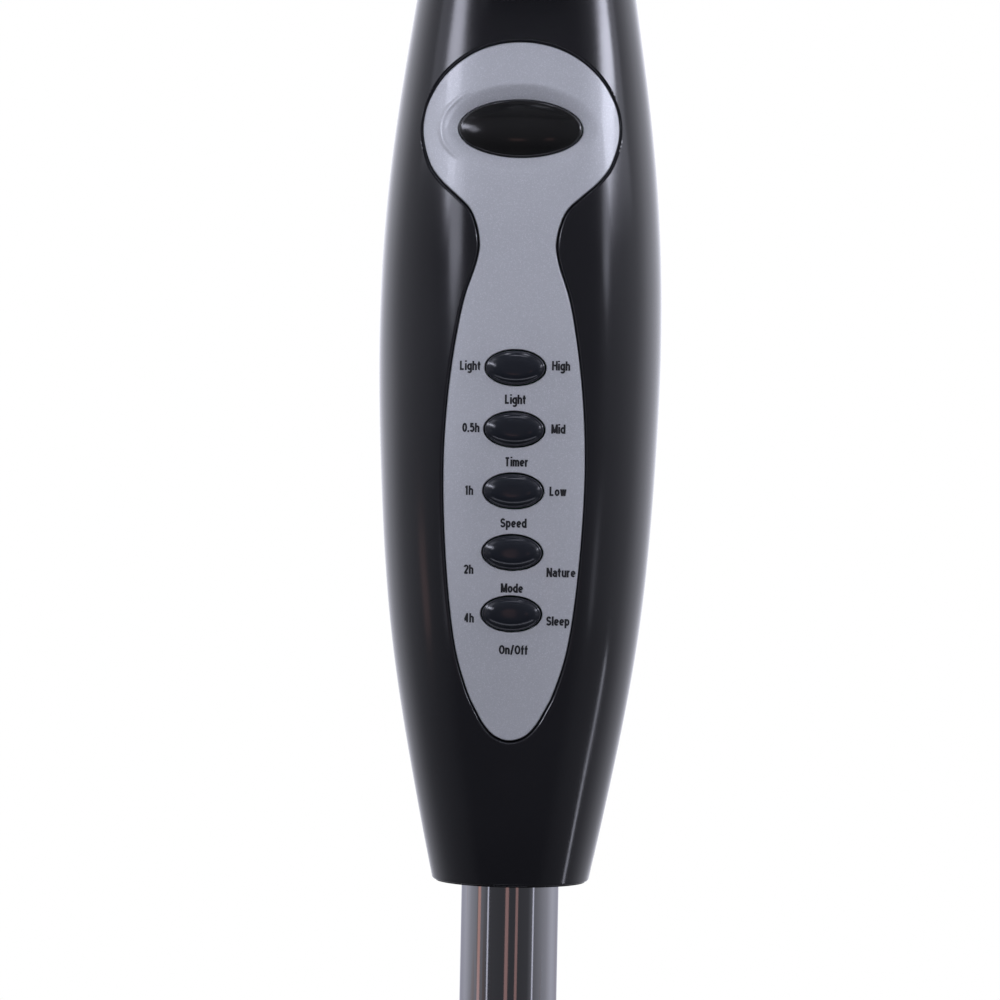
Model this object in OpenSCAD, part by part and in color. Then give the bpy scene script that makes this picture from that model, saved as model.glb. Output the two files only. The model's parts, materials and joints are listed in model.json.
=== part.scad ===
// Pedestal fan with a spindle-shaped control housing, telescopic pole and swinging head.
// +Z is up, the front faces -Y, and the origin is the centre of the floor under the base.

/* [Base] */
// Radius of the round base
base_r = 200; // [180:5:205]
// Height of the boss that the pole stands in
boss_h = 80; // [75:1:90]
// Radius of the circle that the feet stand on
feet_r = 172; // [140:1:175]

/* [Pole] */
// Outside diameter of the lower tube
lower_tube_d = 28; // [28:0.1:28.2]
// Outside diameter of the upper tube
upper_tube_d = 25; // [24.9:0.1:25]
// Height of the top of the lower tube
lower_tube_top = 470; // [450:1:475]

/* [Control housing] */
// Height of the bottom edge of the control housing
housing_z = 600; // [590:1:620]
// Length of the control housing
housing_h = 330; // [330:1:330]
// Wall thickness of the housing shells
housing_wall = 2.4; // [2:0.1:2.6]
// Distance between neighbouring buttons
button_pitch = 15.4; // [15:0.1:16]
// Width of a button cap
button_w = 14.8; // [14:0.1:14.9]
// Height of a button cap
button_h = 8.5; // [8:0.1:8.6]

/* [Head] */
// Height of the fan's axis
head_z = 1080; // [1075:1:1090]
// Radius of the grille over its rim
grille_r = 225; // [220:1:228]
// Radius of the blades
blade_r = 190; // [170:1:192]
// Number of blades
blade_count = 5; // [3:1:7]
// Number of radial wires in each grille
wire_count = 32; // [24:2:40]

/* [Hidden] */
$fn = 48;

// ---------- shared helpers ----------
gap = 0.1;                       // joint line between parts that meet
fit = 0.05;                      // radial running clearance
seam_y = 3;                      // plane where the front and rear shells meet
lower_r = lower_tube_d / 2;
upper_r = upper_tube_d / 2;

// Catmull-Rom point between p1 and p2
function cr(p0, p1, p2, p3, t) = 0.5 * (2 * p1 + (p2 - p0) * t
    + (2 * p0 - 5 * p1 + 4 * p2 - p3) * t * t + (3 * p1 - p0 - 3 * p2 + p3) * t * t * t);
// Smooth open curve through pts, n steps for each span
function spline(pts, n) = [for (i = [0:len(pts) - 2]) for (s = [0:n - 1])
    cr(pts[max(i - 1, 0)], pts[i], pts[i + 1], pts[min(i + 2, len(pts) - 1)], s / n),
    pts[len(pts) - 1]];
function sgn_pow(v, p) = sign(v) * pow(abs(v), p);

// Revolves about the fan's axis; the profile's second coordinate is the distance forward of the pole
module about_axis(x = 0) translate([x, 0, head_z]) rotate([90, 0, 0]) children();
module tube(r_out, r_in, z0, z1) translate([0, 0, z0]) difference() {
    cylinder(r = r_out, h = z1 - z0);
    translate([0, 0, -1]) cylinder(r = r_in, h = z1 - z0 + 2);
}

// ---------- base ----------
// Dome of the base cover: radius, height
dome = [[base_r, 9], [base_r - 4, 12.5], [180, 16.5], [150, 22], [105, 29.5], [66, 38.5], [46, 48],
    [34.5, 62], [29, boss_h]];
cover_wall = 2.5;

module base_cover() color("#121214") rotate_extrude($fn = 96) {
    outer = spline(dome, 3);
    polygon(concat([[base_r, 5]], outer, [[17.6, boss_h], [17.6, boss_h - cover_wall]],
        [for (i = [len(outer) - 3:-1:2]) [outer[i][0] - cover_wall * 0.7, outer[i][1] - cover_wall]],
        [[base_r - cover_wall, 7], [base_r - cover_wall, 5]]));
}
module base_weight() color("#8d8a84") tube(164, 54, 5.2, 14.5);
module base_plate() color("#1c1c1e") difference() {
    tube(base_r - 2, 20, 3, 5);
    for (k = [0:4]) rotate(72 * k + 90) translate([feet_r, 0, 0]) cylinder(r = 4, h = 10);
}
module base_feet() color("#2b2b2d") for (k = [0:4]) rotate(72 * k + 90) translate([feet_r, 0, 0]) {
    cylinder(r1 = 11, r2 = 12, h = 3);
    cylinder(r = 3.9, h = 5);
}
module pole_socket() color("#8f9296") difference() {
    union() {
        translate([0, 0, 5.2]) cylinder(r = 48, h = 3.3);
        cylinder_z(17.2, 5.2, 72);
    }
    cylinder_z(lower_r + fit, 10, 80);
    for (k = [0:3]) rotate(90 * k + 45) translate([38, 0, 0]) cylinder(r = 2.6, h = 20);
}
module cylinder_z(r, z0, z1) translate([0, 0, z0]) cylinder(r = r, h = z1 - z0);
module socket_screws() color("#b8babd") for (k = [0:3]) rotate(90 * k + 45) translate([38, 0, 0]) {
    translate([0, 0, 5.1]) cylinder(r = 2.5, h = 3.4);
    translate([0, 0, 8.5]) cylinder(r = 4.6, h = 2.6);
}
module base_trim_ring() color("#c9ccd0") translate([0, 0, boss_h]) rotate_extrude($fn = 72)
    polygon([[lower_r + gap, 0.1], [28.6, 0.1], [28.6, 2], [26.5, 4.6], [20, 6.4], [lower_r + gap, 7]]);

// ---------- pole ----------
module lower_tube() color("#c9ccd0") tube(lower_r, lower_r - 1, 10.1, lower_tube_top);
module collar_body() color("#141416") difference() {
    union() {
        cylinder_z(18.4, lower_tube_top - 34, lower_tube_top + 8);
        cylinder_z(21, lower_tube_top - 36, lower_tube_top - 28);
    }
    cylinder_z(lower_r + gap / 2, 0, lower_tube_top);
    cylinder_z(15.6, lower_tube_top - 1, lower_tube_top + 20);
}
module collet_sleeve() color("#e8e6df") difference() {
    union() {
        cylinder_z(lower_r - 1 - fit, lower_tube_top - 26, lower_tube_top + 0.1);
        cylinder_z(15.4, lower_tube_top + 0.1, lower_tube_top + 3);
        translate([0, 0, lower_tube_top + 3]) cylinder(r1 = 15.4, r2 = 14, h = 13);
    }
    cylinder_z(upper_r + fit, 0, 600);
    for (k = [0:3]) rotate(45 * k) translate([-20, -0.6, lower_tube_top + 5]) cube([40, 1.2, 20]);
}
lock_nut_top = lower_tube_top + 20;
module height_lock_nut() color("#141416") difference() {
    union() {
        cylinder_z(22, lower_tube_top - 26, lock_nut_top - 5);
        translate([0, 0, lock_nut_top - 5]) cylinder(r1 = 22, r2 = 17.5, h = 5);
        for (k = [0:11]) rotate(30 * k) translate([21.2, 0, lower_tube_top - 20])
            cylinder(r = 1.6, h = 30, $fn = 16);
    }
    cylinder_z(18.5, 0, lower_tube_top + 9);
    translate([0, 0, lower_tube_top + 9]) cylinder(r1 = 18.5, r2 = 14.8, h = 7.5);
    cylinder_z(upper_r + 0.4, 0, 700);
}
module upper_tube() color("#c9ccd0") tube(upper_r, upper_r - 0.9, 300, housing_z + 72);
module tube_guide() color("#e8e6df") difference() {
    union() {
        cylinder_z(lower_r - 1 - gap, 292, 299.9);
        cylinder_z(upper_r - 0.9 - fit, 299.9, 320);
    }
    cylinder_z(8, 0, 400);
}

// ---------- control housing ----------
// Stations of the housing: height above its bottom edge, half width, front depth, rear depth
stations = [[0, 20, 20, 20], [6, 21.3, 20.9, 21], [30, 26.2, 24, 24.5], [62, 31.6, 27.6, 29], [103, 35.1, 30.4, 33],
    [145, 36.2, 31.2, 34.5], [185, 33.9, 30, 32.5], [226, 28.3, 26.4, 27.6], [262, 23.2, 22.8, 23.2],
    [296, 20, 20.2, 20.2], [324, 18.8, 18.8, 18.8], [housing_h, 18.6, 18.6, 18.6]];
housing_rings = spline(stations, 2);
cavity_first = 2;               // the shells are hollow between these rings
cavity_last = len(housing_rings) - 3;
// Exponent of the cross section: 2 is an ellipse, and more is squarer
function squareness(z) = 2 + 0.35 * sin(180 * min(max(z / 290, 0), 1));
function ring_point(s, t, inset) = let (p = 2 / squareness(s[0]), c = cos(t), k = sin(t))
    [(s[1] - inset) * sgn_pow(c, p), ((k < 0 ? s[2] : s[3]) - inset) * sgn_pow(k, p)];
// Front surface of the housing on its centre line at height z above the bottom edge
function front_y(z) = -lookup(z, [for (s = housing_rings) [s[0], s[2]]]);

// The housing's outer form, shrunk by inset, between two of its rings
module housing_form(inset, first = 0, last = len(housing_rings) - 1) for (i = [first:last - 1]) hull()
    for (s = [housing_rings[i], housing_rings[i + 1]]) translate([0, 0, housing_z + s[0]])
        linear_extrude(0.01) polygon([for (t = [0:9:359]) ring_point(s, t, inset)]);

module half_space(front) translate([-60, front ? -60 : seam_y + gap / 2, housing_z - 5])
    cube([120, front ? 60 + seam_y - gap / 2 : 60, housing_h + 12]);
module housing_shell(front) difference() {
    intersection() {
        housing_form(0);
        half_space(front);
    }
    housing_form(housing_wall, cavity_first, cavity_last);
    cylinder_z(upper_r + 0.3, housing_z - 5, housing_z + 60);
    cylinder_z(15.3, housing_z + 300, housing_z + 345);
}

// Panel outline: half width, height above the housing's bottom edge, from the tip round to the crown
panel_half = [[0, 37.6], [6.1, 41.9], [10.4, 49.9], [13.9, 61.9], [16.6, 81.9], [17.75, 105], [16.7, 126],
    [13.7, 146], [10.3, 157], [9.6, 163], [11.6, 169.9], [15.4, 174], [19.6, 177.9], [22.8, 182.6],
    [24.75, 190.5], [23.4, 198.2], [18.4, 205.6], [10.2, 210.9], [0, 212.8]];
module panel_outline(grow = 0) offset(delta = grow) {
    half = spline(panel_half, 2);
    polygon(concat(half, [for (i = [len(half) - 2:-1:1]) [-half[i][0], half[i][1]]]));
}
module front_cut(depth_to = -10) translate([0, depth_to, housing_z]) rotate([90, 0, 0])
    linear_extrude(60) children();
window_z = 191;
button_names = ["light", "timer", "speed", "mode", "power"];
function button_z(k) = 131 - button_pitch * k;
module ellipse(w, h) scale([w / 2, h / 2]) circle(r = 1, $fn = 28);

screw_posts = [[-26, 92], [26, 92], [-26, 170], [26, 170], [0, 262]];
frame_screw_z = [40, 306, 320]; // clamp screw on the tube, then the two in the neck
// A post that runs back from the front wall, or forward from the rear one, to the seam
module shell_posts(front) intersection() {
    housing_form(1, cavity_first, cavity_last);
    for (p = screw_posts) translate([p[0], front ? seam_y - gap / 2 : 50, housing_z + p[1]]) rotate([90, 0, 0])
        cylinder(r = front ? 4 : 5, h = front ? 40 : 50 - seam_y - gap / 2, $fn = 20);
}
module housing_front() color("#121214") difference() {
    union() {
        housing_shell(true);
        shell_posts(true);
    }
    front_cut(-12) panel_outline(0.6);
    for (p = screw_posts) translate([p[0], seam_y + 1, housing_z + p[1]]) rotate([90, 0, 0])
        cylinder(r = 1.6, h = 14, $fn = 20);
}
module housing_rear() color("#121214") difference() {
    union() {
        housing_shell(false);
        shell_posts(false);
    }
    for (p = screw_posts) translate([p[0], 60, housing_z + p[1]]) rotate([90, 0, 0]) {
        cylinder(r = 1.8, h = 60, $fn = 20);
        cylinder(r = 3.6, h = 46, $fn = 24);
    }
    translate([0, 60, housing_z + gland_z]) rotate([90, 0, 0]) cylinder(r = 6.2, h = 50, $fn = 32);
    for (z = frame_screw_z) translate([0, 60, housing_z + z]) rotate([90, 0, 0]) cylinder(r = 2.2, h = 50, $fn = 24);
}
module housing_screws() color("#a9abae") for (p = screw_posts)
    translate([p[0], 0, housing_z + p[1]]) rotate([-90, 0, 0]) {
        translate([0, 0, -8]) cylinder(r = 1.5, h = 22);
        translate([0, 0, 14]) cylinder(r = 3.2, h = 2.2);
    }
module control_panel() color("#8e929d") difference() {
    intersection() {
        housing_form(0.35, cavity_first, cavity_last);
        front_cut(-14) panel_outline();
        union() {
            difference() {
                front_cut() square([100, 500], center = true);
                housing_form(housing_wall + 0.3, cavity_first, cavity_last);
            }
            front_cut(board_y - 1.7) for (p = board_holes) translate(p) circle(r = 2.6, $fn = 20);
        }
    }
    front_cut() {
        translate([0, window_z]) ellipse(31.4, 14.8);
        for (k = [0:4]) translate([0, button_z(k)]) ellipse(button_w + 0.7, button_h + 0.7);
    }
    for (p = board_holes) translate([p[0], board_y, housing_z + p[1]]) rotate([90, 0, 0])
        cylinder(r = 1.55, h = 5.2, $fn = 20);
}
module display_window() color("#0b0b0d") hull() {
    translate([0, front_y(window_z) + 3.2, housing_z + window_z]) rotate([90, 0, 0])
        linear_extrude(3) ellipse(31, 14.4);
    translate([0, front_y(window_z) + 0.2, housing_z + window_z]) rotate([90, 0, 0])
        linear_extrude(0.8) ellipse(25, 10);
}
module button(k) color("#17181d") {
    face = front_y(button_z(k));
    translate([0, face, housing_z + button_z(k)]) rotate([90, 0, 0]) {
        hull() {
            translate([0, 0, -2]) linear_extrude(2.2) ellipse(button_w, button_h);
            linear_extrude(1.0) ellipse(button_w - 2, button_h - 2);
            linear_extrude(1.5) ellipse(button_w - 6, button_h - 4.4);
        }
        translate([0, 0, face + stem_end]) cylinder(r = 1.6, h = -face - stem_end - 1.9);
    }
}
module button_light() button(0);
module button_timer() button(1);
module button_speed() button(2);
module button_mode() button(3);
module button_power() button(4);

// ---------- inside the control housing ----------
gland_z = 16;                   // height of the cord's gland
board_y = -18;                  // rear face of the circuit board
stem_end = 24.9;                // distance of the end of each button's stem in front of the pole's axis
board_z0 = 54;
board_z1 = 206;
module tube_socket() color("#1a1a1c") difference() {
    union() {
        cylinder_z(15.2, housing_z + 26, housing_z + 76);
        translate([-19.5, -6, housing_z + 28]) cube([39, 12, 4]);
    }
    cylinder_z(upper_r + fit, 0, housing_z + 72.1);
    cylinder_z(10, 0, housing_z + 100);
    translate([0, 10, housing_z + frame_screw_z[0]]) rotate([-90, 0, 0]) cylinder(r = 2 + fit, h = 20);
}
module frame_screws() color("#a9abae") for (k = [0:2])
    translate([0, k == 0 ? 12.6 : 6, housing_z + frame_screw_z[k]]) rotate([-90, 0, 0]) {
        cylinder(r = 2, h = 13.9);
        translate([0, 0, 13.9]) cylinder(r = 3.8, h = 2.4);
    }
module cord_gland() color("#1b1b1d") translate([0, 0, housing_z + gland_z]) rotate([-90, 0, 0]) difference() {
    union() {
        translate([0, 0, 15.6]) cylinder(r = 6, h = 9.4);
        translate([0, 0, 23.9]) cylinder(r = 7.6, h = 1.7);
        translate([0, 0, 15.6]) cylinder(r = 7.4, h = 2.2);
    }
    translate([0, 0, 13]) cylinder(r = 3.5, h = 20);
}
board_holes = [[-9, 58], [9, 58], [-16, 200], [16, 200]];
module circuit_board() color("#2f5d3a") difference() {
    translate([-20, board_y - 1.6, housing_z + board_z0]) cube([40, 1.6, board_z1 - board_z0]);
    for (p = board_holes) translate([p[0], board_y + 5, housing_z + p[1]]) rotate([90, 0, 0]) cylinder(r = 1.7, h = 10);
    translate([-30, board_y - 5, housing_z + board_z0 - 1]) cube([14, 10, 12]);
    translate([16, board_y - 5, housing_z + board_z0 - 1]) cube([14, 10, 12]);
}
module board_screws() color("#b8babd") for (p = board_holes)
    translate([p[0], board_y, housing_z + p[1]]) rotate([-90, 0, 0]) {
        translate([0, 0, -4.4]) cylinder(r = 1.5, h = 4.5);
        translate([0, 0, 0.1]) cylinder(r = 2.8, h = 1.8);
    }
module board_components() translate([0, board_y + 0.1, housing_z]) {
    color("#b03a2e") translate([-15, 0, 96]) cube([13, 7, 10]);
    color("#23252b") for (k = [0:3]) translate([2 + 4.6 * k - 4, 0, 120]) cube([3.6, 6, 9]);
    color("#e4e2da") translate([-14, 0, 150]) cube([22, 6, 9]);
    color("#15161a") translate([12, 0, 100]) rotate([-90, 0, 0]) cylinder(r = 5.5, h = 6);
    color("#3a3c44") translate([-4, 0, 172]) cube([9, 3, 18]);
}
module tact_switches() color("#3b3d44") for (k = [0:4]) translate([0, board_y - 1.7, housing_z + button_z(k)])
    rotate([90, 0, 0]) {
        translate([-3, -3, 0]) cube([6, 6, 3.5]);
        translate([0, 0, 3.5]) cylinder(r = 1.7, h = 0.9);
    }
module indicator_leds() {
    color("#d94b3a") for (k = [0:4]) for (side = [-1, 1])
        translate([side * 12.5, board_y - 1.7, housing_z + button_z(k)]) rotate([90, 0, 0])
            cylinder(r = 1.5, h = 3, $fn = 20);
    color("#f2efe2") translate([-5, board_y - 1.7, housing_z + window_z]) rotate([90, 0, 0])
        cylinder(r = 2.5, h = 5);
    color("#2a2b30") translate([4, board_y - 5.7, housing_z + window_z - 3]) cube([6, 4, 6]);
}
module motor_capacitor() color("#e9e7df") translate([-19, 10, housing_z + 120]) cube([38, 15, 26]);

// Lead from the board up to the neck: points relative to the housing's bottom edge
loom_route = [[0, -15.5, 193], [6, -11, 215], [11, -4, 240], [11, 0, 264], [7, 0, 284], [0, 0, 304],
    [0, 0, 330]];
module wiring_loom() color("#26262a") for (i = [0:len(loom_route) - 2]) hull()
    for (e = [loom_route[i], loom_route[i + 1]]) translate([e[0], e[1], housing_z + e[2]]) sphere(r = 2.4, $fn = 10);

// ---------- tilt joint ----------
pivot_z = head_z - 98;          // height of the tilt axis
lug_in = 14.5;
lug_out = 22;
module along_x(x0, x1, r) translate([x0, 0, pivot_z]) rotate([0, 90, 0]) cylinder(r = r, h = x1 - x0);
module neck_bracket() color("#141416") difference() {
    union() {
        cylinder_z(15.2, housing_z + 296, housing_z + housing_h + 0.1);
        translate([0, 0, housing_z + housing_h + 0.1]) cylinder(r1 = 19, r2 = 22.5, h = 16);
        for (side = [-1, 1]) intersection() {
            translate([side > 0 ? lug_in : -lug_out, -20, housing_z + housing_h])
                cube([lug_out - lug_in, 40, 80]);
            hull() {
                along_x(-30, 30, 12.5);
                translate([-30, -15, housing_z + housing_h + 8]) cube([60, 30, 4]);
            }
        }
    }
    along_x(-40, 40, 4.1);
    cylinder_z(9, 0, pivot_z - 20);
    for (k = [1, 2]) translate([0, 5, housing_z + frame_screw_z[k]]) rotate([-90, 0, 0]) cylinder(r = 2 + fit, h = 20);
}
module tilt_bolt() color("#a9abae") {
    along_x(-26, 36, 4);
    translate([-29.5, 0, pivot_z]) rotate([0, 90, 0]) cylinder(r = 7, h = 5, $fn = 6);
}
module tilt_knob() color("#141416") difference() {
    union() {
        along_x(lug_out + 0.6, lug_out + 8, 10);
        along_x(lug_out + 8, lug_out + 22, 14);
        for (k = [0:7]) translate([lug_out + 9, 0, pivot_z]) rotate([45 * k, 0, 0]) translate([0, 0, 13.6])
            rotate([0, 90, 0]) cylinder(r = 2.2, h = 12, $fn = 16);
    }
    along_x(lug_out - 5, lug_out + 16, 4 + fit);
}
sleeve_z0 = head_z - 86;
sleeve_z1 = head_z - 58;
link_post = [-34, 17.4];        // post on the tilt bracket that the swing link holds
module tilt_bracket() color("#1a1a1c") difference() {
    union() {
        along_x(-14.2, 14.2, 12);
        cylinder_z(12.5, pivot_z, sleeve_z1);
        hull() {
            translate([0, 0, sleeve_z1 - 6]) cylinder(r = 9, h = 6);
            translate([link_post[0], link_post[1], sleeve_z1 - 6]) cylinder(r = 5, h = 6);
        }
        translate([link_post[0], link_post[1], sleeve_z1 - 1]) cylinder(r = 2, h = 7);
        translate([link_post[0], link_post[1], sleeve_z1 - 1]) cylinder(r = 4, h = 1.6);
    }
    along_x(-20, 20, 4 + fit);
    cylinder_z(6 + fit, sleeve_z0, sleeve_z1 + 5);
    translate([0, 5, head_z - 72]) rotate([-90, 0, 0]) cylinder(r = 2 + fit, h = 20);
}
module swivel_screw() color("#a9abae") translate([0, 5.2, head_z - 72]) rotate([-90, 0, 0]) {
    cylinder(r = 2, h = 8.3);
    translate([0, 0, 8.3]) cylinder(r = 3.8, h = 2.6);
}

// ---------- motor ----------
case_floor = head_z - 50;
crank_y = 12.5;                 // the swing crank turns here, behind the swivel axis
spindle = [16.5, 9.34];         // the worm wheel's spindle
module gearbox_case() color("#8f9296") difference() {
    union() {
        translate([-21, -16, head_z - 22]) cube([52, 44, 40]);
        translate([-10, -10, case_floor + 1]) cube([20, 30, 40]);
        cylinder_z(9, case_floor - 1, case_floor + 6);
        translate([0, crank_y, case_floor - 1]) cylinder(r = 6, h = 8);
        cylinder_z(6, head_z - 84, case_floor + 6);
    }
    translate([-18, -13, head_z - 19]) cube([47.4, 38, 34]);
    translate([-7, -7, case_floor + 7]) cube([14, 24, 40]);
    difference() {
        cylinder_z(7, head_z - 74.2, head_z - 69.8);
        cylinder_z(4.8, head_z - 75, head_z - 69);
    }
    about_axis() translate([0, 0, 10]) cylinder(r = 5.4, h = 20);
    translate([spindle[0], spindle[1], head_z]) cylinder(r = 3 + fit, h = 60);
    translate([spindle[0], spindle[1], head_z - 21.2]) cylinder(r = 2.5 + fit, h = 10);
    translate([0, crank_y, case_floor - 5]) cylinder(r = 3 + fit, h = 20);
}
module motor_rear_bracket() color("#a7aaae") about_axis() difference() {
    union() {
        translate([0, 0, 16.2]) cylinder(r = 42, h = 3);
        translate([0, 0, 19.2]) tube(42, 38, 0, 16);
        translate([0, 0, 16.2]) cylinder(r = 9, h = 9);
    }
    translate([0, 0, 10]) cylinder(r = 6.05, h = 20);
    for (k = [0:5]) rotate(60 * k) translate([26, 0, 10]) cylinder(r = 6, h = 12);
}
module motor_front_bracket() color("#a7aaae") about_axis() difference() {
    union() {
        translate([0, 0, 75.8]) cylinder(r = 42, h = 3);
        translate([0, 0, 59.8]) tube(42, 38, 0, 16);
        translate([0, 0, 69.8]) cylinder(r = 9, h = 9);
    }
    translate([0, 0, 60]) cylinder(r = 6.05, h = 30);
    for (k = [0:3]) rotate(90 * k) translate([25, 0, 72]) cylinder(r = 6, h = 12);
    for (k = [0:3]) rotate(90 * k + 45) translate([34, 0, 70]) cylinder(r = 2 + fit, h = 20);
}
module shaft_bushes() color("#b08d57") about_axis() for (z = [16.4, 70]) tube(6, 4 + fit, z, z + 8.6);
module stator_core() color("#77797d") about_axis() difference() {
    tube(41.8, 22.6, 35.3, 59.7);
    for (k = [0:7]) rotate(45 * k) translate([30, 0, 30]) cylinder(r = 4.2, h = 40);
}
module stator_coils() color("#a5552a") about_axis() difference() {
    union() {
        tube(36.5, 24.5, 27.5, 35.2);
        tube(36.5, 24.5, 59.8, 68);
        for (k = [0:7]) rotate(45 * k) translate([30, 0, 30]) cylinder(r = 4, h = 35);
    }
}
module motor_screws() color("#b8babd") about_axis() for (k = [0:3]) rotate(90 * k + 45)
    translate([34, 0, 0]) {
        translate([0, 0, 74]) cylinder(r = 2, h = 8.7);
        translate([0, 0, 82.7]) cylinder(r = 3.6, h = 1.9);
    }
module motor_shaft() color("#c4c6c9") about_axis() {
    translate([0, 0, -24]) cylinder(r = 4, h = 174);
    translate([0, 0, 107]) rotate([0, 90, 0]) translate([0, 0, -7]) cylinder(r = 1.5, h = 14);
    worm_thread();
}
worm_pitch = 2.5133;            // axial pitch that matches the worm wheel's teeth
worm_turns = 6;
module worm_thread() {
    steps = 14;
    n = steps * worm_turns;
    mid = -spindle[1];
    function section(i) = let (a = 360 * i / steps, z = mid + worm_pitch * (i / steps - worm_turns / 2))
        [for (p = [[3.9, -0.75], [5.2, -0.3], [5.2, 0.3], [3.9, 0.75]]) [p[0] * cos(a), p[0] * sin(a), z + p[1]]];
    points = [for (i = [0:n]) each section(i)];
    polyhedron(points, concat([[2, 1, 0], [3, 2, 0]],
        [for (i = [0:n - 1]) for (k = [0:3]) let (m = (k + 1) % 4) each
            [[4 * i + 4 + m, 4 * i + 4 + k, 4 * i + k], [4 * i + m, 4 * i + 4 + m, 4 * i + k]]],
        [[4 * n + 1, 4 * n + 2, 4 * n + 3], [4 * n, 4 * n + 1, 4 * n + 3]]));
}
module rotor_core() color("#8b8e93") about_axis() tube(22, 4.01, 34, 61);
wheel_teeth = 30;
module worm_wheel() color("#ebe7d8") translate([spindle[0], spindle[1], 0]) {
    pitch_r = wheel_teeth * worm_pitch / (2 * PI);
    half = 180 / wheel_teeth;
    tooth = [[-0.62, pitch_r - 1], [-0.24, pitch_r + 0.35], [0.24, pitch_r + 0.35], [0.62, pitch_r - 1]];
    translate([0, 0, head_z - 2]) linear_extrude(4) polygon([for (k = [0:wheel_teeth - 1]) for (p = tooth)
        let (a = 180 + half * (2 * k + 1 + p[0])) [p[1] * cos(a), p[1] * sin(a)]]);
    cylinder_z(4.5, head_z - 8, head_z + 4);
    cylinder_z(2.5, head_z - 21, head_z - 8);
}
module swing_knob() color("#141416") translate([spindle[0], spindle[1], 0]) {
    cylinder_z(2.95, head_z + 13.5, head_z + 40);
    cylinder_z(7.4, head_z + 40, head_z + 64);
    translate([0, 0, head_z + 64]) cylinder(r1 = 10.5, r2 = 11, h = 5);
    translate([0, 0, head_z + 69]) cylinder(r1 = 11, r2 = 8.5, h = 2.5);
}
crank_r = 8.03;                 // crank radius that gives the head its swing
link_z = case_floor - 5.4;
module swing_crank() color("#a9abae") translate([0, crank_y, 0]) {
    cylinder_z(3, link_z + 2.6, case_floor + 12);
    cylinder_z(4.4, case_floor + 8.1, case_floor + 11);
    hull() {
        cylinder_z(4, link_z + 2.2, link_z + 4.2);
        translate([0, crank_r, 0]) cylinder_z(4, link_z + 2.2, link_z + 4.2);
    }
    translate([0, crank_r, 0]) cylinder_z(2, link_z - 2.4, link_z + 2.4);
}
module swing_link() color("#b8babd") {
    eye = [link_post[0], crank_y + crank_r];
    difference() {
        hull() {
            translate([eye[0], eye[1], link_z - 1.5]) cylinder(r = 8.4, h = 3);
            translate([0, crank_y + crank_r, link_z - 1.5]) cylinder(r = 5, h = 3);
        }
        translate([eye[0], eye[1], link_z - 5]) cylinder(r = 5.6, h = 10);
        translate([0, crank_y + crank_r, link_z - 5]) cylinder(r = 2 + fit, h = 10);
    }
}

// ---------- covers, grilles and blade ----------
module motor_front_cover() color("#141416") about_axis() difference() {
    rotate_extrude($fn = 96) polygon([[9.5, 81.8], [58, 81.8], [60.6, 79], [60.6, 74.2], [63, 74.2], [63, 80],
        [60, 84.8], [24, 84.8], [24, 97], [21, 97], [21, 84.8], [9.5, 84.8]]);
    for (k = [0:3]) rotate(90 * k + 45) translate([34, 0, 70]) {
        cylinder(r = 2 + fit, h = 20);
        translate([0, 0, 12.6]) cylinder(r = 3.8, h = 10);
    }
}
cover_profile = [[63, 74], [63, 62], [60, 42], [54, 20], [50, 0], [46, -20], [38, -36], [24, -46], [0, -49]];
module motor_rear_cover() color("#121214") difference() {
    about_axis() rotate_extrude($fn = 96) {
        outer = spline(cover_profile, 3);
        inner = [for (i = [len(outer) - 1:-1:0]) [max(outer[i][0] - 2.2, 0), outer[i][1] + (i == 0 ? 0 : 2.2)]];
        polygon(concat(outer, inner));
    }
    translate([spindle[0], spindle[1], head_z]) cylinder(r = 7.9, h = 80);
    translate([-14, -12, head_z - 80]) cube([28, 38, 50]);
    for (k = [0:11]) rotate_about_axis(30 * k) translate([0, 56, head_z + 24]) cube([3, 40, 22], center = true);
}
module rotate_about_axis(a) translate([0, 0, head_z]) rotate([0, a, 0]) translate([0, 0, -head_z]) children();

// Grille wires are chains of short square bars through points of (radius, distance forward)
module bar(p, q, w) hull() for (e = [p, q]) translate(e) cube(w, center = true);
module radial_wires(path, w, count) for (k = [0:count - 1]) rotate(360 * k / count)
    for (i = [0:len(path) - 2]) bar([path[i][0], 0, path[i][1]], [path[i + 1][0], 0, path[i + 1][1]], w);
module hoop(r, z, w) translate([0, 0, z]) rotate_extrude($fn = 60) translate([r, 0]) square(w, center = true);
rear_path = [[74, 87.5], [140, 89], [188, 96], [209, 108], [218, 123.5]];
front_path = [[46, 176], [120, 174], [176, 166], [206, 148], [218, 130.5]];
module rear_grille() color("#1a1a1c") about_axis() {
    radial_wires(rear_path, 2.2, wire_count);
    hoop(219, 123.5, 4);
    hoop(75, 86.5, 4);
    hoop(150, 91, 3);
    translate([0, 0, 85]) difference() {
        cylinder(r = 76, h = 2.4);
        translate([0, 0, -1]) cylinder(r = 24.4, h = 5);
    }
}
module front_grille() color("#1a1a1c") about_axis() {
    radial_wires(front_path, 2.2, wire_count);
    hoop(219, 130.5, 4);
    hoop(47, 176, 4);
    hoop(140, 171.5, 3);
}
module grille_ring() color("#141416") about_axis() tube(grille_r, 221.4, 119, 135);
module grille_nut() color("#141416") about_axis() difference() {
    translate([0, 0, 87.6]) cylinder(r = 34, h = 9);
    translate([0, 0, 80]) cylinder(r = 24.1, h = 30);
    for (k = [0:5]) rotate(60 * k) translate([38, 0, 80]) cylinder(r = 7, h = 30);
}
module grille_badge() color("#8e929d") about_axis() rotate_extrude($fn = 72)
    polygon([[0, 178.4], [50, 178.4], [50, 180], [44, 184], [30, 186], [0, 187]]);
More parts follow.
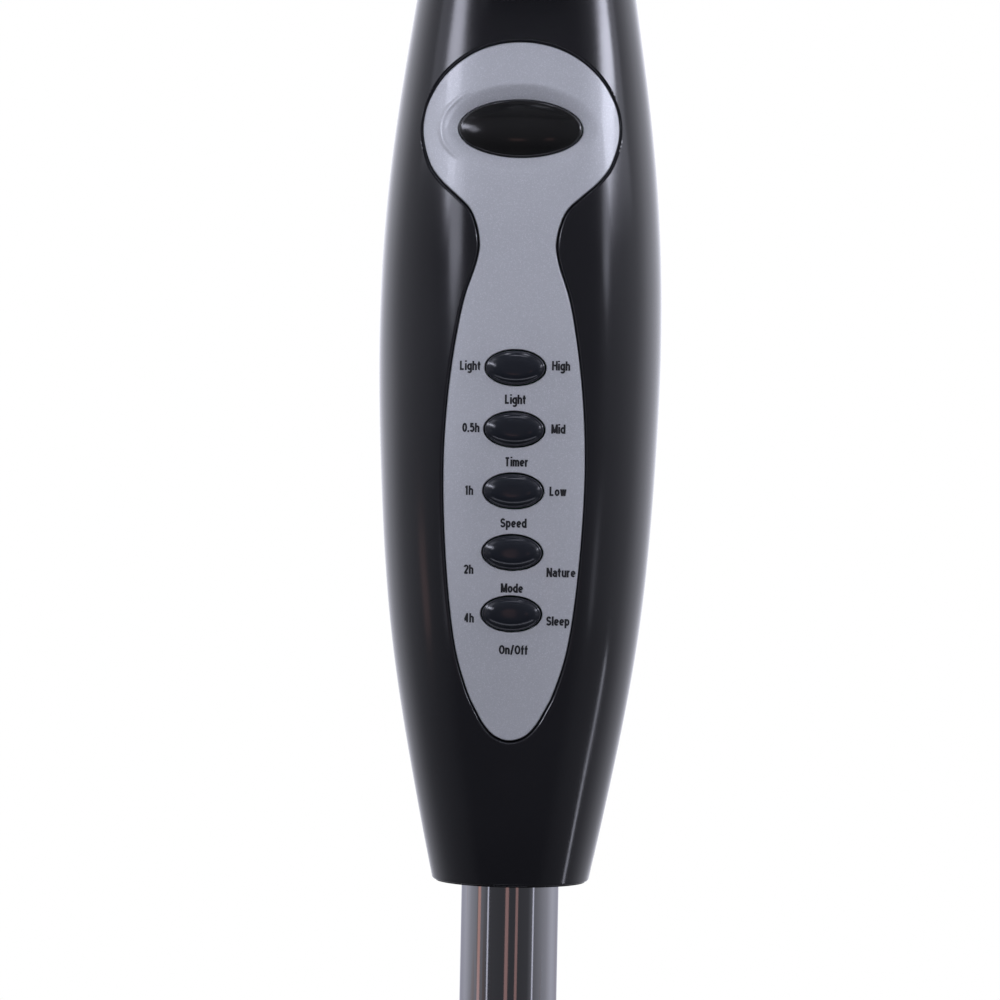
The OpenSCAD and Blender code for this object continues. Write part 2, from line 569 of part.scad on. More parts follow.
// One blade: a twisted sheet from the hub outwards
blade_thick = 1.8;
module blade() {
    spans = 8;
    chords = 6;
    function edge(u, v) = let (
        r = 30 + (blade_r - 30) * u,
        wide = 30 + 26 * sin(150 * u),
        a = (v - 0.5) * wide + 16 * u,
        pitch = (v - 0.5) * (34 - 8 * u) + 3 * sin(180 * v))
        [r * cos(a), r * sin(a), 126 + pitch];
    rows = [for (i = [0:spans]) [for (j = [0:chords]) edge(i / spans, j / chords)]];
    w = chords + 1;
    n = (spans + 1) * w;
    top = [for (row = rows) for (p = row) p + [0, 0, blade_thick / 2]];
    bottom = [for (row = rows) for (p = row) p - [0, 0, blade_thick / 2]];
    function quad(a, b, c, d) = [[a, b, c], [a, c, d]];
    polyhedron(concat(top, bottom), concat(
        [for (i = [0:spans - 1]) for (j = [0:chords - 1]) let (a = i * w + j) each
            concat(quad(a, a + 1, a + w + 1, a + w), quad(n + a, n + a + w, n + a + w + 1, n + a + 1))],
        [for (i = [0:spans - 1]) let (a = i * w, b = i * w + chords) each
            concat(quad(a, a + w, n + a + w, n + a), quad(b, n + b, n + b + w, b + w))],
        [for (j = [0:chords - 1]) let (a = j, b = spans * w + j) each
            concat(quad(a, n + a, n + a + 1, a + 1), quad(b, b + 1, n + b + 1, n + b))]));
}
module fan_blade() color("#7c808a") about_axis() difference() {
    union() {
        for (k = [0:blade_count - 1]) rotate(360 * k / blade_count) blade();
        translate([0, 0, 104]) cylinder(r1 = 36, r2 = 32, h = 40);
    }
    translate([0, 0, 100]) tube(29, 10, 0, 40);
    translate([0, 0, 100]) cylinder(r = 4.02, h = 60);
    translate([0, 0, 107]) rotate([0, 90, 0]) translate([0, 0, -7.2]) cylinder(r = 1.6, h = 14.4);
    translate([0, 0, 105.4]) cube([3.2, 14.4, 8], center = true);
}
module blade_nut() color("#141416") about_axis() difference() {
    union() {
        translate([0, 0, 144.2]) cylinder(r = 17, h = 4);
        translate([0, 0, 148.2]) cylinder(r1 = 15, r2 = 11, h = 8);
        for (k = [0:5]) rotate(60 * k) translate([13, 0, 145]) cylinder(r = 3, h = 9, $fn = 16);
    }
    translate([0, 0, 140]) cylinder(r = 4.02, h = 10);
}

base_cover();
base_weight();
base_plate();
base_feet();
pole_socket();
socket_screws();
base_trim_ring();
lower_tube();
collar_body();
collet_sleeve();
height_lock_nut();
upper_tube();
tube_guide();
tube_socket();
frame_screws();
housing_front();
housing_rear();
control_panel();
display_window();
housing_screws();
cord_gland();
circuit_board();
board_screws();
board_components();
tact_switches();
indicator_leds();
motor_capacitor();
wiring_loom();
button_light();
button_timer();
button_speed();
button_mode();
button_power();
neck_bracket();
tilt_bolt();
tilt_knob();
tilt_bracket();
swivel_screw();
gearbox_case();
motor_rear_bracket();
motor_front_bracket();
stator_core();
stator_coils();
shaft_bushes();
motor_screws();
motor_front_cover();
motor_rear_cover();
rear_grille();
grille_nut();
front_grille();
grille_ring();
grille_badge();
motor_shaft();
rotor_core();
fan_blade();
blade_nut();
worm_wheel();
swing_knob();
swing_crank();
swing_link();
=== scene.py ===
"""Pedestal fan: the looks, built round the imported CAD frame. Sizes are in mm until a mesh is made."""

import json
import math

import bmesh
import bpy
import numpy as np
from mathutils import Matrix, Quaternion, Vector
from mathutils.geometry import delaunay_2d_cdt


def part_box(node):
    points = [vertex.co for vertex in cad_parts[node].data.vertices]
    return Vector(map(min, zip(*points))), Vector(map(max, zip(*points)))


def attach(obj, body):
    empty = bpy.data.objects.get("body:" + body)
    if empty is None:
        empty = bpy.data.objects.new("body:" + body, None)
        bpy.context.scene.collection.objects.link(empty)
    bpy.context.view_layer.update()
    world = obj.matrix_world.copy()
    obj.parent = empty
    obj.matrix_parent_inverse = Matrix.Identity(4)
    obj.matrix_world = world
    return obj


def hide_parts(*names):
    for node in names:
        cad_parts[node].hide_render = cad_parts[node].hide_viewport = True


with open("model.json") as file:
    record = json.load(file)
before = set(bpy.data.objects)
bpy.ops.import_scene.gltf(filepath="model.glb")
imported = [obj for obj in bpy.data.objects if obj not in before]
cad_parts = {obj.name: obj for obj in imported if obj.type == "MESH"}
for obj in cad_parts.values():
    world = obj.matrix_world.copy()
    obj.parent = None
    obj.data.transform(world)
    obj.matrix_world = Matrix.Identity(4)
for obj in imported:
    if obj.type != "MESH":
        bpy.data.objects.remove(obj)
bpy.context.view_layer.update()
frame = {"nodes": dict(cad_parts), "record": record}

MM = 0.001
GAP = 0.1                        # joint line between parts that meet


def node_box(node):
    """Lowest and highest corner of a CAD node, in millimetres."""
    low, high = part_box(node)
    return low / MM, high / MM


# ---------- camera, light and floor ----------
housing_z = node_box("housing_front")[0].z
housing_h = node_box("housing_front")[1].z - housing_z
CAMERA_UP = 97.9                 # height of the lens above the housing's bottom edge
CAMERA_AWAY = 1000
CAMERA_LEFT = 4.5
CAMERA_TURN = 2.4                # degrees round to the fan's right side
CAMERA_LENS = 139.7
CAMERA_ROLL = -1.1
WARM = (1.45, 0.78, 0.70)        # colour of the warm strips
# Brightness of the room from its dark side (0) to its white side (1)
ROOM = [(0.0, 0.075), (0.16, 0.09), (0.25, 0.22), (0.41, 0.34), (0.60, 0.50), (0.78, 0.84), (1.0, 0.90)]


def make_camera():
    data = bpy.data.cameras.new("camera")
    data.lens = CAMERA_LENS
    data.clip_start, data.clip_end = 0.05, 60
    camera = bpy.data.objects.new("camera", data)
    bpy.context.scene.collection.objects.link(camera)
    turn = math.radians(CAMERA_TURN)
    away, left = Vector((math.sin(turn), -math.cos(turn), 0)), Vector((-math.cos(turn), -math.sin(turn), 0))
    camera.location = (away * CAMERA_AWAY + left * CAMERA_LEFT + Vector((0, 0, housing_z + CAMERA_UP))) * MM
    camera.rotation_euler = (math.radians(90), math.radians(CAMERA_ROLL), turn)
    bpy.context.scene.camera = camera
    bpy.context.scene.view_settings.view_transform = "Standard"


def area_light(name, azimuth, elevation, away, size, radiance, centre_z, tint=(0.93, 0.95, 1.12), lean=0,
               mirrored=True):
    """A soft box that faces the object. Azimuth is in degrees to the right of the camera's side. Its top
    leans to the left by lean degrees. One that isn't mirrored lights surfaces but leaves no highlight."""
    data = bpy.data.lights.new(name, "AREA")
    data.shape = "RECTANGLE"
    data.size, data.size_y = size
    data.energy = radiance * math.pi * size[0] * size[1]
    data.color = tint
    lamp = bpy.data.objects.new(name, data)
    bpy.context.scene.collection.objects.link(lamp)
    lamp.visible_camera, lamp.visible_glossy = False, mirrored
    a, e = math.radians(azimuth), math.radians(elevation)
    way = Vector((math.sin(a) * math.cos(e), -math.cos(a) * math.cos(e), math.sin(e)))
    lamp.location = Vector((0, 0, centre_z)) + way * away
    lamp.rotation_euler = (way.to_track_quat("Z", "Y") @ Quaternion((0, 0, 1), math.radians(lean))).to_euler()


def make_lights():
    middle = (housing_z + 160) * MM
    low = (housing_z - 20) * MM
    area_light("soft_left", -55, 18, 1.5, (0.19, 0.66), 9.0, middle, lean=63)
    area_light("soft_left_low", -39, 9, 1.5, (0.21, 0.34), 3.8, middle, lean=35)
    area_light("soft_right", 74, 18, 1.5, (0.18, 0.60), 13.0, middle, lean=-68)
    area_light("soft_right_low", 60, 9, 1.5, (0.14, 0.32), 3.0, middle, lean=-35)
    area_light("strip_low_right", 88, -24, 1.0, (0.05, 0.45), 4.5, (housing_z + 20) * MM)
    area_light("wide_left", -70, 30, 2.0, (1.1, 1.2), 0.75, middle)
    area_light("wide_right", 82, 28, 2.0, (1.0, 1.2), 1.1, middle)
    area_light("overhead", 0, 75, 2.6, (1.6, 1.6), 5.0, middle)
    area_light("low_front", 0, -58, 0.8, (1.3, 0.10), 2.0, middle)
    area_light("panel_fill", 0, 22, 0.52, (0.4, 0.1), 8.0, middle, mirrored=False)
    for azimuth, width, radiance in ((-74, 0.20, 0.45), (-4, 0.20, 0.36), (19, 0.16, 0.32)):
        area_light("warm_strip", azimuth, -6, 1.5, (width, 0.16), radiance, low, WARM)
    for azimuth in (-50, 60):
        area_light("thin_strip", azimuth, -6, 1.5, (0.09, 0.16), 1.1, low)


def add(nt, kind, inputs=None, **settings):
    """A new node. inputs maps a socket's name or number to another node's output or to a plain value."""
    made = nt.nodes.new("ShaderNode" + kind)
    for key, value in settings.items():
        setattr(made, key, value)
    for key, value in (inputs or {}).items():
        if isinstance(value, bpy.types.NodeSocket):
            nt.links.new(value, made.inputs[key])
        else:
            made.inputs[key].default_value = value
    return made


def make_world():
    """White backdrop for the camera; for light, a room that is dark on the camera's side and white behind."""
    world = bpy.data.worlds.new("studio")
    bpy.context.scene.world = world
    world.use_nodes = True
    nt = world.node_tree
    nt.nodes.clear()
    split = add(nt, "SeparateXYZ", {0: add(nt, "TexCoord").outputs["Generated"]}).outputs
    ramp = add(nt, "ValToRGB", {0: remap(nt, split["Y"], 0, 1, -1, 1)})
    stops = ramp.color_ramp.elements
    while len(stops) < len(ROOM):
        stops.new(0.5)
    for stop, (place, value) in zip(stops, ROOM):
        stop.position = place
        stop.color = (value * 0.97, value * 0.98, value * 1.1, 1)
    strength = remap(nt, split["Z"], 0.25, 1.5, -0.55, 0.05)
    room = add(nt, "Background", {"Color": ramp.outputs[0], "Strength": strength})
    white = add(nt, "Background", {"Color": (1, 1, 1, 1), "Strength": 1.0})
    seen = add(nt, "LightPath").outputs["Is Camera Ray"]
    mix = add(nt, "MixShader", {0: seen, 1: room.outputs[0], 2: white.outputs[0]})
    add(nt, "OutputWorld", {"Surface": mix.outputs[0]})


# ---------- materials ----------
MIX_A, MIX_B, MIX_OUT = 6, 7, 2  # colour sockets of a Mix node


def shader(name, color, roughness, metallic=0.0, coat=0.0):
    mat = bpy.data.materials.new(name)
    mat.use_nodes = True
    bsdf = mat.node_tree.nodes["Principled BSDF"]
    values = {"Base Color": (*color, 1), "Roughness": roughness, "Metallic": metallic, "Coat Weight": coat,
              "Coat Roughness": 0.08, "IOR": 1.5}
    for key, value in values.items():
        bsdf.inputs[key].default_value = value
    return mat, mat.node_tree, bsdf


def feed(nt, bsdf, color, roughness, normal):
    """Links three outputs to a shader."""
    for key, source in (("Base Color", color), ("Roughness", roughness), ("Normal", normal)):
        nt.links.new(source, bsdf.inputs[key])


def coords(nt, stretch=(1, 1, 1)):
    source = add(nt, "TexCoord").outputs["Object"]
    return add(nt, "Mapping", {"Vector": source, "Scale": stretch}).outputs["Vector"]


def noise(nt, vector, scale, detail):
    inputs = {"Vector": vector, "Scale": scale, "Detail": detail, "Roughness": 0.55}
    return add(nt, "TexNoise", inputs).outputs["Fac"]


def remap(nt, value, low, high, from_low=0.3, from_high=0.7):
    inputs = {"Value": value, "From Min": from_low, "From Max": from_high, "To Min": low, "To Max": high}
    return add(nt, "MapRange", inputs).outputs[0]


def mix_color(nt, factor, first, second):
    """Mixes two colours, each a socket or three numbers."""
    first, second = (c if isinstance(c, bpy.types.NodeSocket) else (*c, 1) for c in (first, second))
    return add(nt, "Mix", {0: factor, MIX_A: first, MIX_B: second}, data_type="RGBA").outputs[MIX_OUT]


def bump(nt, height, strength, distance):
    return add(nt, "Bump", {"Strength": strength, "Distance": distance, "Height": height}).outputs[0]


def surface(name, dark, light, rough, metallic=0.0, coat=0.0, grain=900, depth=0.00002, stretch=(1, 1, 1),
            strength=0.3):
    """A material whose colour drifts between dark and light, whose roughness drifts over the pair rough,
    and whose grain is a fine bump."""
    mat, nt, bsdf = shader(name, dark, rough[0], metallic, coat)
    vector = coords(nt, stretch)
    drift = noise(nt, vector, 25, 3)
    feed(nt, bsdf, mix_color(nt, remap(nt, drift, 0, 1), dark, light), remap(nt, drift, *rough),
         bump(nt, noise(nt, vector, grain, 2), strength, depth))
    return mat


def wavy_gloss(name, dark, light, rough):
    """Polished moulding whose skin wanders a little, so highlights have soft, uneven edges."""
    mat, nt, bsdf = shader(name, dark, rough[0])
    vector = coords(nt)
    drift = noise(nt, vector, 22, 3)
    speck = add(nt, "Math", {0: noise(nt, vector, 420, 2), 1: 0.006}, operation="MULTIPLY").outputs[0]
    wander = noise(nt, coords(nt, (1, 1, 0.45)), 34, 1)
    wave = add(nt, "Math", {0: wander, 1: speck}, operation="ADD").outputs[0]
    feed(nt, bsdf, mix_color(nt, remap(nt, drift, 0, 1), dark, light), remap(nt, drift, *rough),
         bump(nt, wave, 1.0, 0.0006))
    return mat


def drawn_tube(name, color, warm_reflection_tint, rough):
    """Plated tube with fine lengthwise draw lines, and faint brown streaks painted into its colour as a
    painted reflection of warm surroundings.
    """
    mat, nt, bsdf = shader(name, color, rough[0], 1.0)
    lines = noise(nt, coords(nt, (1, 1, 0.012)), 420, 2)
    reflection_streaks = noise(nt, coords(nt, (1, 1, 0.02)), 480, 2)
    bsdf.inputs["Specular Tint"].default_value = (0.55, 0.55, 0.58, 1)
    # Painted reflection: faint brown streaks mixed into the plating's colour stand in for reflections of warm
    # surroundings.
    painted_reflection_color = mix_color(nt, remap(nt, reflection_streaks, 0, 1, 0.56, 0.66), color, warm_reflection_tint)
    feed(nt, bsdf, painted_reflection_color, remap(nt, lines, *rough), bump(nt, lines, 0.35, 0.000012))
    return mat


def pearl_paint(name, dark, light, painted_glint):
    """Silver-grey pearl paint: a slow colour drift, fine metallic flakes that lean the normal, and a few
    flakes painted lighter as painted glints.
    """
    mat, nt, bsdf = shader(name, dark, 0.4, 0.20, 0.30)
    vector = coords(nt)
    cells = add(nt, "TexVoronoi", {"Vector": vector, "Scale": 5200}).outputs["Color"]
    split = add(nt, "SeparateColor", {0: cells}).outputs
    base = mix_color(nt, remap(nt, noise(nt, vector, 40, 3), 0, 1), dark, light)

    def vector_math(operation, *values):
        return add(nt, "VectorMath", dict(enumerate(values)), operation=operation).outputs[0]

    leaning = vector_math("MULTIPLY_ADD", cells, (0.06,) * 3, add(nt, "NewGeometry").outputs["Normal"])
    normal = vector_math("NORMALIZE", vector_math("SUBTRACT", leaning, (0.03,) * 3))
    # Painted glints: a few random flakes have their colour mixed towards a lighter one.
    feed(nt, bsdf, mix_color(nt, remap(nt, split[0], 0, 1, 0.72, 1.0), base, painted_glint),
         remap(nt, split[1], 0.38, 0.52, 0, 1), normal)
    return mat


MAT = {
    "gloss": wavy_gloss("gloss_black", (0.0095, 0.0095, 0.0112), (0.0120, 0.0120, 0.0140), (0.11, 0.18)),
    "matte": surface("matte_black", (0.012, 0.012, 0.013), (0.018, 0.018, 0.019), (0.42, 0.55), grain=2600,
                     depth=0.00003, strength=0.5),
    "window": surface("window_black", (0.0085, 0.0085, 0.0085), (0.0110, 0.0108, 0.0102), (0.12, 0.18),
                      grain=300, depth=0.000002),
    "button": surface("button_black", (0.0115, 0.0130, 0.0170), (0.0145, 0.0165, 0.0215), (0.13, 0.19),
                      grain=500, depth=0.000003),
    # The pearl's last colour is that of its painted glint flakes.
    "pearl": pearl_paint("panel_pearl", (0.435, 0.445, 0.46), (0.47, 0.48, 0.495), (0.55, 0.56, 0.58)),
    "ink": surface("legend_ink", (0.008, 0.008, 0.009), (0.014, 0.014, 0.015), (0.45, 0.6), grain=4000),
    # The chrome's second colour is the brown of its painted reflection streaks.
    "chrome": drawn_tube("chrome", (0.345, 0.345, 0.36), (0.32, 0.27, 0.25), (0.05, 0.10)),
    "trim": surface("chrome_trim", (0.62, 0.62, 0.64), (0.70, 0.70, 0.72), (0.06, 0.12), 1.0, grain=900,
                    depth=0.000005),
    "steel": surface("plain_steel", (0.42, 0.42, 0.43), (0.55, 0.55, 0.56), (0.25, 0.38), 1.0, grain=1800,
                     depth=0.00001),
    "cast": surface("cast_metal", (0.30, 0.31, 0.32), (0.42, 0.43, 0.44), (0.42, 0.58), 0.9, grain=700,
                    depth=0.00008, strength=0.6),
    "core": surface("core_steel", (0.16, 0.16, 0.17), (0.24, 0.24, 0.25), (0.40, 0.50), 0.9, grain=900,
                    stretch=(0.05, 1, 0.05)),
    "copper": surface("coil_copper", (0.42, 0.15, 0.06), (0.55, 0.22, 0.09), (0.28, 0.4), 0.8, grain=1500),
    "bronze": surface("bush_bronze", (0.38, 0.25, 0.12), (0.48, 0.33, 0.17), (0.3, 0.42), 1.0),
    "rubber": surface("foot_rubber", (0.016, 0.016, 0.017), (0.026, 0.026, 0.027), (0.75, 0.9), grain=1600,
                      depth=0.00006, strength=0.5),
    "stone": surface("ballast", (0.24, 0.23, 0.21), (0.36, 0.35, 0.32), (0.85, 0.95), grain=500, depth=0.0004,
                     strength=0.7),
    "white": surface("white_plastic", (0.62, 0.61, 0.56), (0.70, 0.69, 0.64), (0.4, 0.5), grain=1600),
    "board": surface("board_green", (0.02, 0.10, 0.04), (0.03, 0.14, 0.06), (0.3, 0.42), grain=1200),
    "part": surface("component_black", (0.02, 0.02, 0.024), (0.035, 0.035, 0.04), (0.35, 0.5), grain=1500),
    "lens": surface("led_lens", (0.45, 0.05, 0.03), (0.6, 0.08, 0.05), (0.12, 0.2)),
    "wire": surface("grille_black", (0.011, 0.011, 0.012), (0.016, 0.016, 0.017), (0.22, 0.32), grain=2200,
                    depth=0.00001),
    "blade": surface("blade_grey", (0.070, 0.074, 0.086), (0.085, 0.090, 0.104), (0.16, 0.26), coat=0.3,
                     grain=350, depth=0.000008),
    "floor": surface("pale_floor", (0.72, 0.72, 0.72), (0.76, 0.76, 0.76), (0.55, 0.7), grain=200),
}


# ---------- mesh helpers ----------
TRUE_NORMAL = 0.93               # how close (as a cosine) a face has to be to the true normal to be given it


def solid(name, verts, faces, mat, body=None, slot=None, nodes=(), sharp=38, normal_at=None, weld=0.002):
    """Makes a piece from points in mm. normal_at(points) gives the true normals of its smooth skin."""
    mesh = bpy.data.meshes.new(name)
    mesh.from_pydata([tuple(c * MM for c in v) for v in verts], [], [tuple(f) for f in faces])
    work = bmesh.new()
    work.from_mesh(mesh)
    bmesh.ops.remove_doubles(work, verts=work.verts, dist=weld * MM)
    bmesh.ops.dissolve_degenerate(work, edges=work.edges, dist=0.0005 * MM)
    bmesh.ops.recalc_face_normals(work, faces=work.faces)
    work.to_mesh(mesh)
    work.free()
    piece = bpy.data.objects.new(name, mesh)
    bpy.context.scene.collection.objects.link(piece)
    mesh.materials.append(mat)
    finish_shading(piece, sharp, normal_at)
    if body:
        place(piece, body, slot, nodes)
    return piece


def applied(piece):
    """Turns a piece's modifiers into plain mesh."""
    graph = bpy.context.evaluated_depsgraph_get()
    mesh = bpy.data.meshes.new_from_object(piece.evaluated_get(graph))
    piece.modifiers.clear()
    old, piece.data = piece.data, mesh
    bpy.data.meshes.remove(old)
    mesh.name = piece.name
    return mesh


def finish_shading(piece, sharp, normal_at):
    """Smooth shading up to the angle sharp, with true normals where normal_at gives them."""
    mesh = piece.data
    mesh.polygons.foreach_set("use_smooth", [True] * len(mesh.polygons))
    mesh.set_sharp_from_angle(angle=math.radians(sharp))
    if normal_at is None:
        piece.modifiers.new("even", "WEIGHTED_NORMAL").keep_sharp = True
        applied(piece)
        return
    points = np.empty(len(mesh.vertices) * 3)
    mesh.vertices.foreach_get("co", points)
    true = normal_at(points.reshape(-1, 3) / MM)
    loops = np.zeros((len(mesh.loops), 3))
    for face in mesh.polygons:
        flat = np.array(face.normal)
        for k in face.loop_indices:
            n = true[mesh.loops[k].vertex_index]
            if flat @ n > TRUE_NORMAL:
                loops[k] = n
    mesh.normals_split_custom_set(loops.tolist())


def place(piece, body, slot, nodes):
    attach(piece, body)
    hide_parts(*nodes)


def joined(name, pieces, body, slot, nodes):
    """Joins meshes into one piece that keeps each one's material and shading."""
    bpy.ops.object.select_all(action="DESELECT")
    for p in pieces:
        p.select_set(True)
    bpy.context.view_layer.objects.active = pieces[0]
    bpy.ops.object.join()
    pieces[0].name = name
    pieces[0].data.name = name
    place(pieces[0], body, slot, nodes)


def cut(piece, tools, sharp, normal_at=None):
    """Cuts closed tool meshes out of a closed piece, then removes them."""
    for tool in tools:
        mod = piece.modifiers.new("cut", "BOOLEAN")
        mod.operation = "DIFFERENCE"
        mod.solver = "EXACT"
        mod.object = tool
    mesh = applied(piece)
    for tool in tools:
        bpy.data.objects.remove(tool)
    while len(mesh.materials) > 1:
        mesh.materials.pop()
    mesh.polygons.foreach_set("material_index", [0] * len(mesh.polygons))
    finish_shading(piece, sharp, normal_at)
    return piece


def cutter(mesh):
    return solid("cutter", *mesh, MAT["matte"])


def copies(name, original, spots, body, node):
    """Copies of a screw at spots, their heads to the rear, joined into one piece."""
    pieces = []
    for x, y, z in spots:
        twin = original.copy()
        twin.data = original.data.copy()
        bpy.context.scene.collection.objects.link(twin)
        for v in twin.data.vertices:
            p = v.co / MM
            v.co = Vector((x + p[0], y + p[2], z - p[1])) * MM
        twin.data.update()
        pieces.append(twin)
    bpy.data.objects.remove(original)
    joined(name, pieces, body, "plain_steel", [node])


def around(count):
    """Evenly spaced angles round a circle."""
    return [2 * math.pi * i / count for i in range(count)]


def quarter(steps):
    """Angles from 0 to 90 degrees."""
    return [math.pi / 2 * k / steps for k in range(steps + 1)]


def polar(r, a):
    """The point at radius r and angle a."""
    return r * math.cos(a), r * math.sin(a)


def grid(rows, cols, ring=False, closed=True, start=0):
    """Faces over rows of cols points. closed joins each row's ends, ring joins the last row to the first."""
    def at(i, k):
        return start + i % rows * cols + k % cols
    return [(at(i, k), at(i, k + 1), at(i + 1, k + 1), at(i + 1, k))
            for i in range(rows if ring else rows - 1) for k in range(cols if closed else cols - 1)]


def capped(rows, cols):
    """Faces over rows of cols points, with both ends closed."""
    return grid(rows, cols) + [tuple(reversed(range(cols))), tuple(range((rows - 1) * cols, rows * cols))]


def soften(points, radius, steps, closed=True):
    """Rounds the corners of a polyline: each corner becomes a short curve that starts radius before it."""
    out = []
    count = len(points)
    for i, p in enumerate(points):
        if not closed and i in (0, count - 1):
            out.append(tuple(p))
            continue
        p = Vector(p).to_2d()
        before, after = Vector(points[i - 1]).to_2d(), Vector(points[(i + 1) % count]).to_2d()
        one, two = before - p, after - p
        if one.length < 1e-6 or two.length < 1e-6:
            continue
        r = min(radius, one.length * 0.49, two.length * 0.49)
        a, b = p + one.normalized() * r, p + two.normalized() * r
        for k in range(steps + 1):
            t = k / steps
            out.append(tuple(a * (1 - t) ** 2 + p * 2 * t * (1 - t) + b * t * t))
    return out


def spun(profile, steps):
    """Closed (radius, height) profile turned about +Z."""
    return ([(*polar(max(r, 0), a), h) for a in around(steps) for r, h in profile],
            grid(steps, len(profile), ring=True))


def ribbed(profile, steps, rib, closed=True):
    """A (radius, height) profile turned about +Z. rib(a, r, h) is how much each point's radius grows."""
    return ([(*polar(r + rib(a, r, h), a), h) for a in around(steps) for r, h in profile],
            grid(steps, len(profile), ring=True, closed=closed))


def turned(profile, edge, steps, sides, closed=True):
    """A profile with rounded corners, turned about +Z."""
    return spun(soften(profile, edge, steps, closed), sides)


def bar(inner, outer, low, high, edge, steps, sides):
    """A pipe about +Z with rounded edges, or a plain pin where inner is 0."""
    return turned([(inner, low), (outer, low), (outer, high), (inner, high)], edge, steps, sides, inner > 0)


def drill(radius, low, high, sides):
    """A round cutter's mesh about +Z."""
    return spun([(0, low), (radius, low), (radius, high), (0, high)], sides)


def prism(outline, low, high, edge, steps):
    """Outline in the XY plane raised from low to high, with rounded top and bottom edges."""
    pts = [Vector(p).to_2d() for p in outline]
    count = len(pts)
    ahead = [(pts[(i + 1) % count] - pts[i - 1]).normalized() for i in range(count)]
    turn = 1 if sum(pts[i - 1].x * pts[i].y - pts[i].x * pts[i - 1].y for i in range(count)) >= 0 else -1
    curve = [(edge * (1 - math.sin(a)), edge * (1 - math.cos(a))) for a in quarter(steps)]
    levels = [(d, low + rise) for d, rise in curve] + [(d, high - rise) for d, rise in reversed(curve)]
    verts = [(p.x - turn * w.y * d, p.y + turn * w.x * d, z) for d, z in levels for p, w in zip(pts, ahead)]
    return verts, capped(len(levels), count)


def circle(radius, steps, centre=(0, 0)):
    return [(centre[0] + radius * math.cos(a), centre[1] + radius * math.sin(a)) for a in around(steps)]


def moved(mesh, fn):
    """A (verts, faces) pair with fn applied to each point."""
    return [fn(Vector(v)) for v in mesh[0]], mesh[1]


def shift(x, y, z=0):
    """A move by (x, y, z)."""
    return lambda v: v + Vector((x, y, z))


def together(*meshes):
    verts, faces = [], []
    for v, f in meshes:
        start = len(verts)
        verts += [tuple(p) for p in v]
        faces += [tuple(i + start for i in face) for face in f]
    return verts, faces


def tube_along(path, radius, sides):
    """A round bar with flat ends along a list of points."""
    pts = [Vector(p) for p in path]
    verts, side = [], None
    for i, p in enumerate(pts):
        way = (pts[min(i + 1, len(pts) - 1)] - pts[max(i - 1, 0)]).normalized()
        if side is None:
            side = way.cross(Vector((0, 0, 1)) if abs(way.z) < 0.9 else Vector((1, 0, 0)))
        side = (side - way * side.dot(way)).normalized()
        up = way.cross(side)
        verts += [p + (side * math.cos(a) + up * math.sin(a)) * radius for a in around(sides)]
    return verts, capped(len(pts), sides)


def spline_point(p0, p1, p2, p3, t):
    """Catmull-Rom point at t from p1 to p2."""
    return 0.5 * (2 * p1 + (p2 - p0) * t + (2 * p0 - 5 * p1 + 4 * p2 - p3) * t * t
                  + (3 * p1 - p0 - 3 * p2 + p3) * t ** 3)


def curve_through(points, per_span):
    """Catmull-Rom points through a short list of points of any dimension."""
    pts = np.array(points, float)
    pts = np.vstack([pts[:1], pts, pts[-1:]])
    return [spline_point(*pts[i:i + 4], s / per_span) for i in range(len(pts) - 3)
            for s in range(per_span)] + [pts[-1]]


def closed_sheet(outside, inside):
    """Joins two grids of points of the same size into a closed skin."""
    rows, cols = len(outside), len(outside[0])
    half = rows * cols
    faces = grid(rows, cols, closed=False) + grid(rows, cols, closed=False, start=half)
    for line in (range(0, half, cols), range(cols - 1, half, cols), range(cols), range(half - cols, half)):
        faces += [(a, b, b + half, a + half) for a, b in zip(line, line[1:])]
    return [p for r in outside + inside for p in r], faces


def hull_outline(circles, steps):
    """Outline round a set of (x, y, radius) circles."""
    pts = sorted({(round(x + r * math.cos(a), 5), round(y + r * math.sin(a), 5))
                  for x, y, r in circles for a in around(steps)})

    def half(run):
        chain = []
        for p in run:
            while len(chain) > 1 and ((chain[-1][0] - chain[-2][0]) * (p[1] - chain[-2][1])
                                      - (chain[-1][1] - chain[-2][1]) * (p[0] - chain[-2][0])) <= 0:
                chain.pop()
            chain.append(p)
        return chain[:-1]
    return half(pts) + half(pts[::-1])


# ---------- the housing's form ----------
# Height above the bottom edge, half width, front depth, rear depth
STATIONS = [(0, 20, 20, 20), (6, 21.3, 20.9, 21), (30, 26.2, 24, 24.5), (62, 31.6, 27.6, 29),
            (103, 35.1, 30.4, 33), (145, 36.2, 31.2, 34.5), (185, 33.9, 30, 32.5), (226, 28.3, 26.4, 27.6),
            (262, 23.2, 22.8, 23.2), (296, 20, 20.2, 20.2), (324, 18.8, 18.8, 18.8),
            (housing_h, 18.6, 18.6, 18.6)]
SEAM_Y = 3                       # plane where the front and rear shells meet
SEAM_ROUND = 0.35
RIM_ROUND = 1.3
TOP_ROUND = 0.6
OPENING = 0.55                   # how far the front shell's opening stands off the panel
OPENING_ROUND = 0.65
OPENING_WALL = 3.2               # depth of the opening's inner edge
PANEL_INSET = 0.35
SCREW_POSTS = [(-26, 92), (26, 92), (-26, 170), (26, 170), (0, 262)]
FRAME_SCREW_Z = (40, 306, 320)
GLAND_Z = 16
# Panel outline: half width, height above the housing's bottom edge, from the tip round to the crown
PANEL_HALF = [(0, 37.4), (3.8, 38.6), (6.5, 41.4), (8.4, 44.7), (11.0, 50.2), (14.3, 61.9), (16.7, 81.9),
              (17.75, 105), (16.7, 126), (13.7, 146), (10.3, 157), (9.6, 163), (11.6, 169.9), (15.4, 174),
              (19.6, 177.9), (22.8, 182.6), (24.75, 190.5), (23.4, 198.2), (18.4, 205.6), (10.2, 210.9),
              (0, 212.8)]


